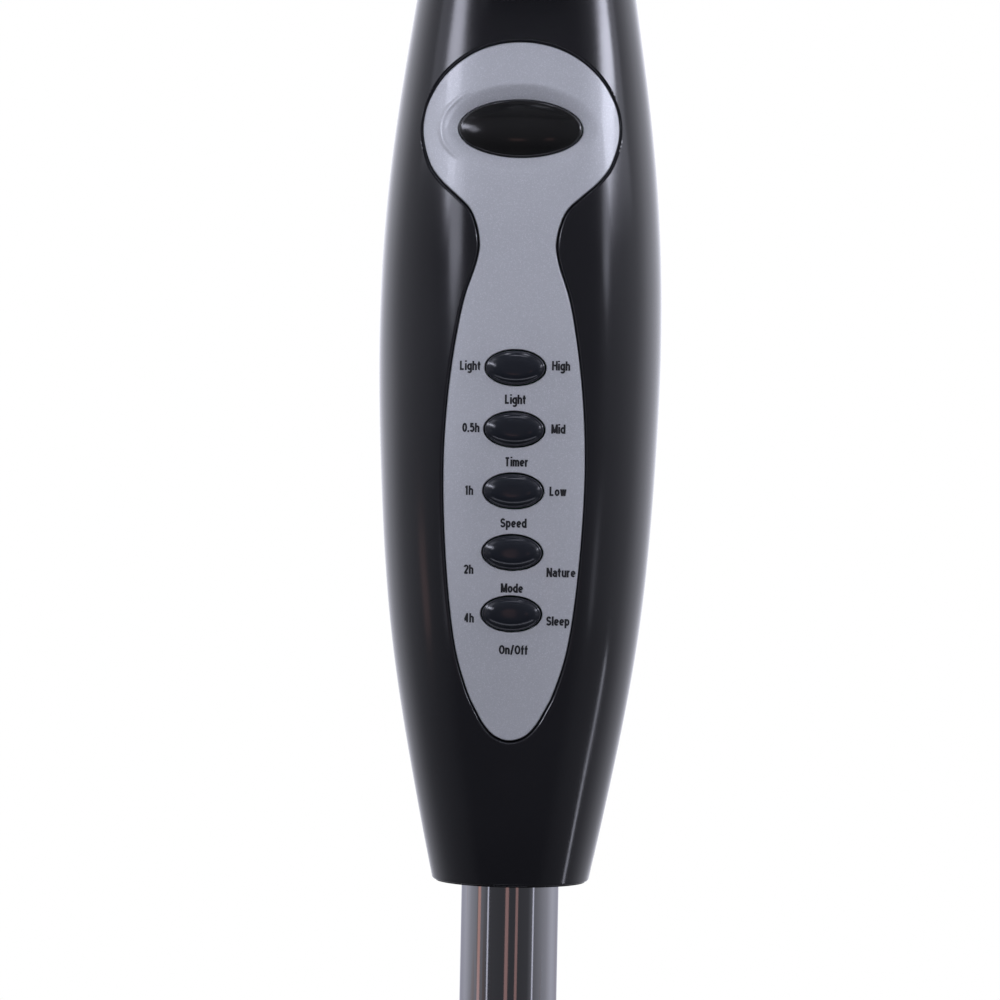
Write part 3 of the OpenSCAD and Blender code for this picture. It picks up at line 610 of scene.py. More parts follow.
def cubic(places, values):
    """Natural cubic spline through the points, as a function of place."""
    x, y = np.array(places, float), np.array(values, float)
    n, h = len(x), np.diff(x)
    a, b = np.eye(n), np.zeros(n)
    for i in range(1, n - 1):
        a[i, i - 1:i + 2] = h[i - 1], 2 * (h[i - 1] + h[i]), h[i]
        b[i] = 6 * ((y[i + 1] - y[i]) / h[i] - (y[i] - y[i - 1]) / h[i - 1])
    m = np.linalg.solve(a, b)

    def at(q):
        q = np.asarray(q, float)
        i = np.clip(np.searchsorted(x, q) - 1, 0, n - 2)
        t, s = x[i + 1] - q, q - x[i]
        return ((m[i] * t ** 3 + m[i + 1] * s ** 3) / (6 * h[i]) + (y[i] / h[i] - m[i] * h[i] / 6) * t
                + (y[i + 1] / h[i] - m[i + 1] * h[i] / 6) * s)
    return at


half_width, front_depth, rear_depth = (
    cubic([s[0] for s in STATIONS], [s[k] for s in STATIONS]) for k in (1, 2, 3))


def squareness(z):
    """Exponent of the housing's cross-section: 2 is an ellipse, more is squarer."""
    return 2 + 0.35 * np.sin(np.pi * np.clip(z / 290, 0, 1))


def form(x, y, z):
    """Zero on the housing's outer surface, negative inside. z is above the bottom edge."""
    n = squareness(z)
    depth = np.where(y < 0, front_depth(z), rear_depth(z))
    return np.abs(x / half_width(z)) ** n + np.abs(y / depth) ** n - 1


def form_normals(points):
    """True outward normals of the housing's form at points in the row frame."""
    x, y, z = points[:, 0], points[:, 1], points[:, 2] - housing_z
    h = 0.4
    n = np.stack([form(x + h, y, z) - form(x - h, y, z), form(x, y + h, z) - form(x, y - h, z),
                  form(x, y, z + h) - form(x, y, z - h)], 1)
    return n / np.maximum(np.linalg.norm(n, axis=1), 1e-9)[:, None]


def ring_point(z, t, inset=0.0):
    """Point of the housing at height z and angle t, where -90 degrees is the front."""
    p = 2 / squareness(z)
    c, s = math.cos(t), math.sin(t)
    depth = front_depth(z) if s < 0 else rear_depth(z)
    return ((half_width(z) - inset) * math.copysign(abs(c) ** p, c),
            (depth - inset) * math.copysign(abs(s) ** p, s))


def reach(x, z, depth, inset=0.0):
    """How far the form's front or back stands off the middle plane at (x, z)."""
    n = squareness(z)
    inside = np.clip(1 - np.abs(x / (half_width(z) - inset)) ** n, 0, 1)
    return (depth(z) - inset) * inside ** (1 / n)


def front_y(x, z, inset=0.0):
    """Front surface's y at (x, z)."""
    return -reach(x, z, front_depth, inset)


def rear_y(x, z):
    """Back surface's y at (x, z)."""
    return float(reach(x, z, rear_depth))


def seam_angle(z, y):
    """How far past the side the shell's surface reaches y."""
    p = 2 / squareness(z)
    return math.asin((y / float(rear_depth(z))) ** (1 / p))


def panel_outline(count, grow):
    """count points round the panel's edge from its tip by way of +X, evenly spaced, grown outward by grow."""
    ring = np.array(PANEL_HALF + [(-x, z) for x, z in PANEL_HALF[-2:0:-1]], float)
    n, per_span, smoothings = len(ring), 24, 14
    dense = np.array([spline_point(ring[i - 1], ring[i], ring[(i + 1) % n], ring[(i + 2) % n], s / per_span)
                      for i in range(n) for s in range(per_span)])
    for _ in range(smoothings):
        dense = 0.25 * np.roll(dense, 1, 0) + 0.5 * dense + 0.25 * np.roll(dense, -1, 0)
    run = np.concatenate([[0], np.cumsum(np.linalg.norm(np.roll(dense, -1, 0) - dense, axis=1))])
    closed = np.vstack([dense, dense[:1]])
    want = np.arange(count) * run[-1] / count
    pts = np.stack([np.interp(want, run, closed[:, k]) for k in (0, 1)], 1)
    ahead = np.roll(pts, -1, 0) - np.roll(pts, 1, 0)
    out = np.stack([ahead[:, 1], -ahead[:, 0]], 1)
    return pts + out / np.linalg.norm(out, axis=1)[:, None] * grow


def on_form(x, z, depth):
    """Point on the front surface at (x, z), pushed depth into the body along the true normal."""
    p = np.array([[x, float(front_y(x, z)), z + housing_z]])
    return (p - form_normals(p) * depth)[0]


# ---------- control housing ----------
def housing_front():
    """Rings that run from inside the panel's opening, over its rounded edge, out to the shell's border."""
    count, spread = 420, 44
    low, high = RIM_ROUND, housing_h - TOP_ROUND
    levels = [(OPENING, OPENING_WALL), (OPENING, OPENING_ROUND)]
    levels += [(OPENING + OPENING_ROUND * (1 - math.cos(a)), OPENING_ROUND * (1 - math.sin(a)))
               for a in quarter(5)[1:]]
    rings = [[on_form(x, z, depth) for x, z in panel_outline(count, grow)] for grow, depth in levels]

    def span(z):
        """Angle from the front's centre line to the seam."""
        return math.pi / 2 + seam_angle(z, SEAM_Y - GAP / 2 - SEAM_ROUND)

    def across(x, z):
        """Share of the way from the front's centre line to the seam."""
        t = math.acos(min(1, (abs(x) / float(half_width(z))) ** (float(squareness(z)) / 2)))
        return math.copysign((math.pi / 2 - t) / span(z), x)

    def shell_point(a, z):
        return np.array([*ring_point(z, a * span(z) - math.pi / 2), z + housing_z])

    # Where each ray from the spine inside the panel leaves the shell, as a share across and a height
    inner = panel_outline(count, OPENING + OPENING_ROUND)
    spine_low, spine_high, stretch = 66, 189, 50
    border = []
    for x, z in inner:
        spine = min(max(z, spine_low), spine_high)
        ways = [stretch / abs(x)] if abs(x) > 1e-6 else []
        if abs(z - spine) > 1e-6:
            ways.append(((low if z < spine else high) - spine) / (z - spine))
        s = min(ways)
        border.append((max(-1, min(1, x * s / stretch)), max(low, min(high, spine + (z - spine) * s))))
    border = np.array(border)
    for corner in ((1, low), (1, high), (-1, low), (-1, high)):
        away = np.hypot((border[:, 0] - corner[0]) * stretch, border[:, 1] - corner[1])
        border[int(np.argmin(away))] = corner
    start = np.array([(across(x, z), z) for x, z in inner])
    for k in range(1, spread + 1):
        f = (k / spread) ** 1.25
        rings.append([shell_point(*(p * (1 - f) + q * f)) for p, q in zip(start, border)])
    kinds = [(abs(a) > 0.9999, z <= low + 1e-6, z >= high - 1e-6) for a, z in border]
    rings += border_rings(rings[-1], kinds)
    skin = [p for ring in rings for p in ring], grid(len(rings), count)
    solid("housing_front_shell", *together(skin, collar(True)), MAT["gloss"], "column", "black_gloss",
          ["housing_front"], normal_at=form_normals)


def border_rings(last, kinds):
    """Rounds the front shell's border: its seam edge towards the rear shell, its bottom and top inwards.
    kinds says of each point whether it is on the seam, the bottom and the top."""
    ways = ((0, 1, 0), (0, 0, -1), (0, 0, 1))
    normals = form_normals(np.array(last))
    rings = []
    for a in quarter(4)[1:]:
        ring = np.array(last)
        for q, n, kind in zip(ring, normals, kinds):
            for on, r, way in zip(kind, (SEAM_ROUND, RIM_ROUND, TOP_ROUND), ways):
                if on:
                    q += np.array(way) * r * math.sin(a) - n * r * (1 - math.cos(a))
        rings.append(ring)
    rings.append([q - n * (2.0 if seam and not (bottom or top) else 0.8)
                  for q, n, (seam, bottom, top) in zip(rings[-1], normals, kinds)])
    return rings


def collar(front):
    """Half of the bottom plate round the pole and of the top plate round the neck."""
    pole, neck_bore, steps = node_box("upper_tube")[1].x + 0.35, 15.4, 40
    verts, faces = [], []
    for bore, wall_end, z, outer in ((pole, 6, 0.0, 19.2), (neck_bore, housing_h - 12, housing_h, 18.3)):
        faces += grid(steps + 1, 4, closed=False, start=len(verts))
        chamfer = z + math.copysign(0.3, wall_end - z)
        for i in range(steps + 1):
            a = math.pi * (i / steps + front)
            verts += [(*polar(r, a), housing_z + height)
                      for r, height in ((outer, z), (bore + 0.3, z), (bore, chamfer), (bore, wall_end))]
    return verts, faces


def along_y(x, z, radius, y0, y1, steps=32):
    """A closed round cutter that runs along Y."""
    ring = circle(radius, steps, (x, z))
    return cutter(([(p, y, q + housing_z) for y in (y0, y1) for p, q in ring], capped(2, steps)))


def housing_rear():
    """Closed rear shell with counterbored screw wells, the cord's inlet and access holes."""
    across, up, wall = 120, 190, 2.3
    low, high = RIM_ROUND, housing_h - TOP_ROUND
    curve = quarter(4)[1:]
    levels = [(low - RIM_ROUND * math.sin(a), RIM_ROUND * (1 - math.cos(a))) for a in reversed(curve)]
    levels += [(low + (high - low) * k / up, 0) for k in range(up + 1)]
    levels += [(high + TOP_ROUND * math.sin(a), TOP_ROUND * (1 - math.cos(a))) for a in curve]
    outside, inside = [], []
    for z, inset in levels:
        shy = seam_angle(z, SEAM_Y + GAP / 2 + SEAM_ROUND)
        row = [np.array([*ring_point(z, shy + (math.pi - 2 * shy) * i / across, inset), z + housing_z])
               for i in range(across + 1)]
        ends = np.array([row[0], row[-1]])
        lips = [[p - (0, SEAM_ROUND * math.sin(a), 0) - n * SEAM_ROUND * (1 - math.cos(a)) for a in curve]
                for p, n in zip(ends, form_normals(ends))]
        row = lips[0][::-1] + row + lips[1]
        pts = np.array(row)
        pts -= form_normals(pts) * (wall, wall, 0)
        pts[:, 1] = np.maximum(pts[:, 1], SEAM_Y + GAP / 2)
        outside.append(row)
        inside.append(list(pts))
    shell = solid("housing_rear_shell", *closed_sheet(outside, inside), MAT["gloss"], sharp=50)
    tools = [along_y(x, z, 3.6, 10, 60) for x, z in SCREW_POSTS]
    tools += [along_y(0, z, 2.2, 10, 60) for z in FRAME_SCREW_Z] + [along_y(0, GLAND_Z, 6.15, 5, 60, 48)]
    cut(shell, tools, 50, form_normals)
    wells = [screw_well(x, z, 3.6, 14, rear_y(x, z) - 0.5) for x, z in SCREW_POSTS]
    lining = solid("lining", *together(*wells), MAT["gloss"])
    plates = solid("plates", *collar(False), MAT["gloss"])
    joined("housing_rear_shell", [shell, lining, plates], "column", "black_gloss", ["housing_rear"])


def screw_well(x, z, radius, y0, y1):
    """Tube from the shell's skin down to the screw's seat, with a floor."""
    wall = 1.2
    profile = [(0, y0 - 1), (radius + wall, y0 - 1), (radius + wall, y1), (radius, y1), (radius, y0), (0, y0)]

    def put(v):
        y = min(v.z, rear_y(x + v.x, z + v.y) - 0.9) if v.z > y0 + 0.5 else v.z
        return Vector((x + v.x, y, housing_z + z + v.y))
    return moved(spun(profile, 48), put)


def phillips_screw(head_r, head_h, shank_r, shank_h):
    """Pan head with a cross recess, its shank running down from height zero."""
    dome = [(0, head_h), (head_r * 0.5, head_h * 0.96), (head_r * 0.82, head_h * 0.72),
            (head_r, head_h * 0.25), (head_r, 0), (shank_r, 0), (shank_r, -shank_h), (0, -shank_h)]
    long, wide = head_r * 0.62, head_r * 0.143
    tools = [cutter(prism([(-x, -y), (x, -y), (x, y), (-x, y)], head_h * 0.45, head_h * 1.6, 0.02, 1))
             for x, y in ((wide, long), (long, wide))]
    return cut(solid("screw", *turned(dome, 0.18, 3, 28), MAT["steel"]), tools, 30)


# ---------- control panel, window, buttons and legends ----------
WINDOW_W, WINDOW_H, WINDOW_Z = 31, 14.4, 191
SCOOP_W, SCOOP_H, SCOOP_DEPTH = 19.6, 11.5, 1.9  # half width, half height and depth of the scoop
BUTTON_W, BUTTON_H = 14.8, 8.5
BUTTON_NAMES = ["light", "timer", "speed", "mode", "power"]
BUTTON_TOP_Z, BUTTON_PITCH = 131, 15.4
# Openings: width, height, middle, gap round the part in it, margin of the test for faces that fill it, points
OPENINGS = [(WINDOW_W, WINDOW_H, WINDOW_Z, 0.4, 0.8, 120)]
OPENINGS += [(BUTTON_W, BUTTON_H, BUTTON_TOP_Z - BUTTON_PITCH * k, 0.7, 1.2, 72) for k in range(5)]
PANEL_LOW, PANEL_HIGH, PANEL_SIDE = 38.0, 213, 25  # bounds of the points that fill the panel's face
SCOOP_LOW, SCOOP_HIGH = 178, 205                   # heights between which those points are close together
# Legend text, distance right of the panel's middle, height above the housing's bottom edge
LEGENDS = [("Light", -11.3, 131.4), ("0.5h", -10.9, 115.9), ("1h", -11.1, 100.2), ("2h", -10.9, 80.4),
           ("4h", -10.65, 68.2), ("High", 11.4, 131.7), ("Mid", 11.0, 115.9), ("Low", 11.2, 100.3),
           ("Nature", 12.3, 80.0), ("Sleep", 11.7, 67.8), ("Light", 0.2, 123.1), ("Timer", 0.7, 107.5),
           ("Speed", 0.2, 92.2), ("Mode", 0.1, 75.9), ("On/Off", 0.7, 60.4)]
CAPITAL = 2.35                   # height of the capitals, in mm; the next three are shares of it
STROKE = 0.208                   # width of a stroke
LETTER_GAP = 0.234               # from the centre line of one letter's last stem to the next one's first
LETTER_NARROW = 0.91             # how much the letters are narrowed


def ease(t):
    t = np.clip(t, 0, 1)
    return t * t * (3 - 2 * t)


def dish(x, z):
    """Depth of the soft scoop round the window; its lower wall is the gentler one and
    its left end has a low bead."""
    dz = z - WINDOW_Z
    away = np.sqrt((x / SCOOP_W) ** 2 + ((dz - 0.1) / SCOOP_H) ** 2)
    wall = 0.42 + 0.20 * ease(-dz / 7)
    bead = 0.24 * np.exp(-((away - 1.03) / 0.035) ** 2) * ease((-x - 10) / 7) * ease((dz + 9) / 5)
    return SCOOP_DEPTH * ease((1 - away) / wall) - bead


def panel_y(x, z):
    return front_y(x, z, PANEL_INSET) + dish(x, z)


def panel_normals(points):
    x, z = points[:, 0], points[:, 2] - housing_z
    h = 0.12
    dx = (panel_y(x + h, z) - panel_y(x - h, z)) / (2 * h)
    dz = (panel_y(x, z + h) - panel_y(x, z - h)) / (2 * h)
    n = np.stack([dx, -np.ones_like(dx), dz], 1)
    return n / np.linalg.norm(n, axis=1)[:, None]


def ellipse(half_w, half_h, z, count):
    return np.array([(half_w * math.cos(a), z + half_h * math.sin(a)) for a in around(count)])


def opening_edge(opening, fillet):
    """Edge of an opening in the panel, fillet away from its wall."""
    w, h, mid, gap, _, count = opening
    return ellipse((w + gap) / 2 + fillet, (h + gap) / 2 + fillet, mid, count)


def in_oval(x, z, w, h, mid):
    return (x / (w / 2)) ** 2 + ((z - mid) / (h / 2)) ** 2 < 1


def inside(ring, x, z):
    """Whether (x, z) is inside a closed outline."""
    hit = False
    for i in range(len(ring)):
        (x0, z0), (x1, z1) = ring[i - 1], ring[i]
        if (z0 > z) != (z1 > z) and x < (x1 - x0) * (z - z0) / (z1 - z0) + x0:
            hit = not hit
    return hit


def fill_points(outline, clear):
    """Points in rows over the panel's face, closer together near the scoop, clear of every opening."""
    points, row, z = [], 0, PANEL_LOW
    while z < PANEL_HIGH:
        step = 0.42 if SCOOP_LOW < z < SCOOP_HIGH else 0.95
        x = (row % 2) * step / 2 - PANEL_SIDE
        while x < PANEL_SIDE:
            away = 2 * (clear + step * 0.6)
            if not any(in_oval(x, z, w + gap + away, h + gap + away, mid)
                       for w, h, mid, gap, _, _ in OPENINGS) and inside(outline, x, z):
                points.append(Vector((x, z)))
            x += step
        z += step * 0.87
        row += 1
    return points


def control_panel():
    """One skin over the panel's face with its window and button openings, fillets and walls."""
    edge_round, hole_round, count = 0.5, 0.3, 420
    rim = panel_outline(count, -edge_round)
    points, bars = [], []
    for ring in [rim] + [opening_edge(o, hole_round) for o in OPENINGS]:
        start = len(points)
        points += [Vector((float(x), float(z))) for x, z in ring]
        bars += [(start + i, start + (i + 1) % len(ring)) for i in range(len(ring))]
    points += fill_points(panel_outline(count, -edge_round - 0.35)[::4], hole_round)
    flat, _, faces, _, _, _ = delaunay_2d_cdt(points, bars, [], 0, 1e-5)
    kept = []
    for face in faces:
        x, z = (sum(flat[i][k] for i in face) / len(face) for k in (0, 1))
        if not any(in_oval(x, z, w + margin, h + margin, mid) for w, h, mid, _, margin, _ in OPENINGS):
            if inside(rim, x, z):
                kept.append(face)
    parts = [([(x, float(panel_y(x, z)), z + housing_z) for x, z in flat], kept),
             edge_strip(lambda g: panel_outline(count, g - edge_round), edge_round, 2.6)]
    parts += [edge_strip(lambda g, o=o: opening_edge(o, hole_round - g), hole_round, 2.2) for o in OPENINGS]
    solid("panel_face", *together(*parts), MAT["pearl"], "column", "panel_pearl", ["control_panel"],
          normal_at=panel_normals, weld=0.01)


def edge_strip(edge_at, radius, wall):
    """A quarter-round that turns the face's edge into a wall. edge_at(g) is the edge moved g outward."""
    rows = [(edge_at(radius * math.sin(a)), radius * (1 - math.cos(a))) for a in quarter(4)]
    rows.append((rows[-1][0], radius + wall))
    verts = [(x, float(panel_y(x, z)) + drop, z + housing_z) for ring, drop in rows for x, z in ring]
    return verts, grid(len(rows), len(rows[0][0]))


def domed(width, height, mid, crown, rim, edge, wrap, power, rows=22, count=96):
    """Closed dome on an ellipse whose middle is at height mid. crown and rim are heights in front of the
    housing's form there. wrap is how much of the housing's curve it follows."""
    base_y, y0 = float(front_y(0, mid)), float(front_y(0, mid, PANEL_INSET))

    def level(x, z, e):
        bend = wrap * (float(front_y(x, z, PANEL_INSET)) - y0)
        return base_y + bend - (rim + (crown - rim) * (1 - e ** power))

    w, h = width / 2 - edge, height / 2 - edge
    rings = [(w * e, h * e, e, 0.0) for e in (((k + 1) / rows) ** 0.85 for k in range(rows))]
    rings += [(w + edge * math.sin(a), h + edge * math.sin(a), 1.0, edge * (1 - math.cos(a)))
              for a in quarter(5)[1:]]
    rings.append((w + edge, h + edge, 1.0, edge + 1.6))
    verts = [(0, level(0, mid, 0), mid + housing_z)]
    for half_w, half_h, e, drop in rings:
        verts += [(x, level(x, z, e) + drop, z + housing_z) for x, z in ellipse(half_w, half_h, mid, count)]
    last, end = len(verts) - count, len(verts)
    verts.append((0, base_y + edge + 1.2, mid + housing_z))
    faces = grid(len(rings), count, start=1)
    for i in range(count):
        j = (i + 1) % count
        faces += [(0, 1 + j, 1 + i), (last + i, last + j, end)]
    return verts, faces


def window_and_buttons():
    solid("window_lens", *domed(WINDOW_W, WINDOW_H, WINDOW_Z, 0.55, -1.0, 0.9, 0.55, 2.4, 30, 140),
          MAT["window"], "column", "window_black", ["display_window"], sharp=60)
    for name, (w, h, mid, *_) in zip(BUTTON_NAMES, OPENINGS[1:]):
        solid(name + "_cap", *domed(w, h, mid, 1.46, 0.35, 0.45, 1.0, 4.0), MAT["button"],
              name + "_button", "button_black", ["button_" + name], sharp=60)


def bow(x0, x1, z0, z1, start, end):
    """Points on the ellipse that fills a box, from one angle to another in degrees."""
    turns = [math.radians(start + (end - start) * i / 16) for i in range(17)]
    return [((x0 + x1) / 2 + (x1 - x0) / 2 * math.cos(a), (z0 + z1) / 2 + (z1 - z0) / 2 * math.sin(a))
            for a in turns]


def letters():
    """Plain sans-serif letters, capitals one unit high: each one's width and the lines that draw it."""
    x, half = 0.74, STROKE / 2
    low, mean, top = half, x - half, 1 - half
    ball = bow(0, 0.36, low, mean, 0, 360)
    stem, tall = [(0, 0), (0, x)], [(0, 0), (0, 1)]

    def arch(x0, x1):
        return [(x0, 0.45)] + bow(x0, x1, 0.33, mean, 170, 0) + [(x1, 0)]

    def at(x0, z0=0.0, z1=1.0):
        return [(x0, z0), (x0, z1)]

    def bars(*points):
        return [list(pair) for pair in zip(points, points[1:])]

    return {
        "L": (0.34, [tall, [(-half, low), (0.36, low)]]),
        "T": (0.44, [[(0, top), (0.44, top)], at(0.22)]),
        "H": (0.44, [tall, at(0.44), [(0, 0.52), (0.44, 0.52)]]),
        "N": (0.44, [tall, [(0.02, 0.97), (0.42, 0.03)], at(0.44)]),
        "M": (0.56, [tall] + bars((0.02, 0.97), (0.28, 0.06), (0.54, 0.97)) + [at(0.56)]),
        "S": (0.40, [bow(0.02, 0.38, 0.5, top, 15, 270) + bow(0, 0.40, low, 0.5, 90, -165)]),
        "O": (0.48, [bow(0, 0.48, low, top, 0, 360)]),
        "0": (0.36, [bow(0, 0.36, low, top, 0, 360)]),
        "1": (0.20, [at(0.14), [(-0.03, 0.76), (0.14, 0.91)]]),
        "2": (0.36, [bow(0, 0.36, 0.48, top, 170, -35) + [(0.03, 0.1)], [(-0.03, low), (0.38, low)]]),
        "4": (0.40, [at(0.30), [(0.30, 0.94), (0.02, 0.32)], [(-0.03, 0.28), (0.42, 0.28)]]),
        "5": (0.36, [[(0.06, top), (0.35, top)], [(0.07, 1), (0.04, 0.50)],
                     bow(0, 0.36, low, 0.64, 140, -155)]),
        ".": (0.0, [at(0, 0, STROKE)]),
        "/": (0.26, [[(0, -0.03), (0.26, 1.03)]]),
        "a": (0.34, [bow(0.02, 0.34, 0.34, mean, 160, 0) + [(0.34, 0)], bow(0, 0.34, low, 0.43, 0, 360)]),
        "d": (0.36, [ball, at(0.36)]),
        "e": (0.36, [[(0, 0.37), (0.36, 0.37)], bow(0, 0.36, low, mean, 0, 315)]),
        "f": (0.18, [[(0.07, 0), (0.07, 0.76)] + bow(0.07, 0.27, 0.62, top, 170, 75),
                     [(-0.10, mean), (0.26, mean)]]),
        "g": (0.36, [ball, at(0.36, x, -0.06) + bow(0, 0.36, -0.22, 0.10, 0, -155)[1:]]),
        "h": (0.33, [tall, arch(0, 0.33)]),
        "i": (0.0, [stem, at(0, 0.88, 1.04)]),
        "l": (0.0, [tall]),
        "m": (0.56, [stem, arch(0, 0.28), arch(0.28, 0.56)]),
        "n": (0.33, [stem, arch(0, 0.33)]),
        "o": (0.36, [ball]),
        "p": (0.36, [ball, at(0, -0.26, x)]),
        "r": (0.20, [stem, [(0, 0.42)] + bow(0, 0.36, 0.30, mean, 165, 75)]),
        "t": (0.22, [[(0.08, 0.94), (0.08, 0.22)] + bow(0.08, 0.28, low, 0.36, 180, 280),
                     [(-0.10, mean), (0.27, mean)]]),
        "u": (0.33, [[(0, x), (0, 0.24)] + bow(0, 0.33, low, 0.41, 180, 355), at(0.33, 0, x)]),
        "w": (0.56, bars((0, x), (0.14, 0.02), (0.28, x), (0.42, 0.02), (0.56, x))),
    }


def inked_line(points, width):
    """A flat bar of constant width that follows a line, as a closed solid from height 0 to 1."""
    ring = math.dist(points[0], points[-1]) < 1e-6
    pts = [Vector(p) for p in (points[:-1] if ring else points)]
    count, verts = len(pts), []
    for i, p in enumerate(pts):
        before = pts[i - 1] if ring or i else p
        after = pts[(i + 1) % count] if ring or i < count - 1 else p
        way = (after - before).normalized()
        side = Vector((-way.y, way.x)) * width / 2
        verts += [(*(p + side), 0), (*(p - side), 0), (*(p - side), 1), (*(p + side), 1)]
    return verts, grid(count, 4, ring=True) if ring else capped(count, 4)


def legends():
    """The printed words, as thin raised letters that follow the panel."""
    table = letters()
    lines = []
    for text, right, up in LEGENDS:
        pen = right / CAPITAL - (sum(table[c][0] for c in text) * LETTER_NARROW
                                 + LETTER_GAP * (len(text) - 1)) / 2
        for c in text:
            width, strokes = table[c]
            for line in strokes:
                mesh = inked_line([(x * LETTER_NARROW, z) for x, z in line], STROKE)
                lines.append(moved(mesh, lambda v, x=pen: Vector(
                    ((v.x + x) * CAPITAL, up + (v.y - 0.5) * CAPITAL, v.z))))
            pen += width * LETTER_NARROW + LETTER_GAP

    def print_on(v):
        return Vector((v.x, float(panel_y(v.x, v.y)) + 0.05 - 0.09 * v.z, v.y + housing_z))
    solid("panel_legends", *moved(together(*lines), print_on), MAT["ink"], "column", "black_matte",
          ["control_panel"])


# ---------- pole, collar and lock nut ----------
def pole():
    for name, node, wall, edge, body in (("upper_pole", "upper_tube", 0.9, 0.25, "column"),
                                         ("lower_pole", "lower_tube", 1, 0.3, "base")):
        low, high = node_box(node)
        solid(name, *bar(high.x - wall, high.x, low.z, high.z, edge, 3, 160), MAT["chrome"], body,
              "pole_chrome", [node])


def collar_and_nut():
    low, high = node_box("collar_body")
    z0, z1, bore = low.z, high.z, node_box("lower_tube")[1].x + 0.05
    shape = [(bore, z0), (20.6, z0), (21, z0 + 2), (20.6, z0 + 7.6), (18.4, z0 + 8.4), (18.4, z1),
             (15.65, z1), (15.65, z1 - 9), (bore, z1 - 9)]
    solid("pole_collar", *turned(shape, 0.6, 4, 144), MAT["matte"], "base", "black_matte", ["collar_body"])
    low, high = node_box("height_lock_nut")
    z0, z1, bore, ribs = low.z, high.z, 18.6, 36
    shape = [(bore, z0), (21.7, z0), (21.7, z1 - 5.2), (17.4, z1), (12.95, z1), (12.95, z1 - 3),
             (bore, z1 - 7)]

    def rib(a, r, z):
        wave = max(0.0, math.cos(ribs * a)) ** 0.7
        return 0.95 * wave * float(ease((z - z0 - 5.5) / 2) * ease((z1 - 9 - z) / 2)) if r > 21.2 else 0
    solid("lock_nut_body", *ribbed(soften(shape, 1.0, 5), 720, rib), MAT["matte"], "lock_nut", "black_matte",
          ["height_lock_nut"], sharp=50)


# ---------- base ----------
# Radius and height of the cover, from its rim up to the trim ring
DOME = [(200, 9), (196, 12.5), (180, 16.5), (150, 22), (105, 29.5), (66, 38.5), (46, 48), (34.5, 62),
        (29, 80)]
BASE_R = 200
FEET_R = 172
FOOT_SPOTS = [polar(FEET_R, math.radians(72 * k + 90)) for k in range(5)]


def base():
    outer = curve_through(DOME, 14)
    lip = [(BASE_R - 2.4, 5.0), (BASE_R - 0.7, 5.2), (BASE_R, 6.2)]
    inner = [(r - 2.0, z - 2.3) for r, z in reversed(outer[6:-6])]
    dome = lip + outer[1:-1] + [(28.6, 79.2), (28.0, 79.9), (17.6, 79.9), (17.6, 77.5), (26.6, 77.4)] + inner
    solid("base_dome", *spun(dome, 192), MAT["gloss"], "base", "black_gloss", ["base_cover"], sharp=50)
    bore = node_box("lower_tube")[1].x + GAP
    trim = [(bore, 80.1), (28.6, 80.1), (28.6, 82), (26.5, 84.6), (20, 86.4), (bore, 87)]
    solid("trim_ring", *turned(trim, 0.7, 6, 160), MAT["trim"], "base", "chrome_trim", ["base_trim_ring"])
    plate = [(20, 3), (60, 3), (62, 3.7), (92, 3.7), (94, 3), (BASE_R - 3.4, 3), (BASE_R - 2, 4.2),
             (BASE_R - 2, 5), (20, 5)]
    disc = solid("under_plate", *turned(plate, 0.35, 3, 192), MAT["matte"], sharp=50)
    cut(disc, [cutter(prism(circle(4, 32, spot), 1, 7, 0.01, 1)) for spot in FOOT_SPOTS], 50)
    place(disc, "base", "black_matte", ["base_plate"])
    foot = [(0, 1.0), (5.5, 1.0), (6.2, 0), (10.4, 0), (11, 0.5), (12, 3), (3.9, 3), (3.9, 5), (0, 5)]
    feet = [moved(turned(foot, 0.35, 3, 48, closed=False), shift(*spot)) for spot in FOOT_SPOTS]
    solid("floor_feet", *together(*feet), MAT["rubber"], "base", "foot_rubber", ["base_feet"], sharp=50)


# ---------- fasteners and the cord's inlet ----------
def fasteners():
    posts = [(x, 14, z + housing_z) for x, z in SCREW_POSTS]
    clamps = [(0, y, z + housing_z) for y, z in zip((26.5, 19.9, 19.9), FRAME_SCREW_Z)]
    low = node_box("swivel_screw")[0]
    copies("rear_screws", phillips_screw(3.2, 2.1, 1.5, 20), posts, "column", "housing_screws")
    copies("clamp_screws", phillips_screw(3.8, 2.3, 2.0, 12), clamps, "column", "frame_screws")
    copies("swivel_lock_screw", phillips_screw(3.8, 2.5, 2.0, 8), [(0, low.y + 8.3, low.z + 3.8)], "tilt",
           "swivel_screw")
    low, high = node_box("cord_gland")
    middle = (low.z + high.z) / 2
    body = [(3.5, low.y), (7.3, low.y), (7.3, low.y + 2.1), (6, low.y + 2.1), (6, 23.9), (7.6, 23.9),
            (7.5, 24.9), (5.6, high.y), (3.5, high.y)]
    solid("cord_bushing", *moved(turned(body, 0.3, 4, 72), lambda v: Vector((v.x, v.z, middle + v.y))),
          MAT["rubber"], "column", "gland_rubber", ["cord_gland"], sharp=50)


# ---------- neck and tilt joint ----------
PIVOT_Z = node_box("tilt_bolt")[0].z + 7         # tilt axis
HEAD_Z = PIVOT_Z + 98                            # blade's axis
CRANK_Y = 12.5
KNOB_XY = tuple(sum(corner[k] for corner in node_box("swing_knob")) / 2 for k in (0, 1))


def along_x(x0):
    """Puts a piece made along +Z on the tilt axis so that its +Z points to +X."""
    return lambda v: Vector((x0 + v.z, v.y, PIVOT_Z - v.x))


def crosswise(v):
    """Turns a piece made along +Z so that its +Z points to +X."""
    return Vector((v.z, v.x, v.y))


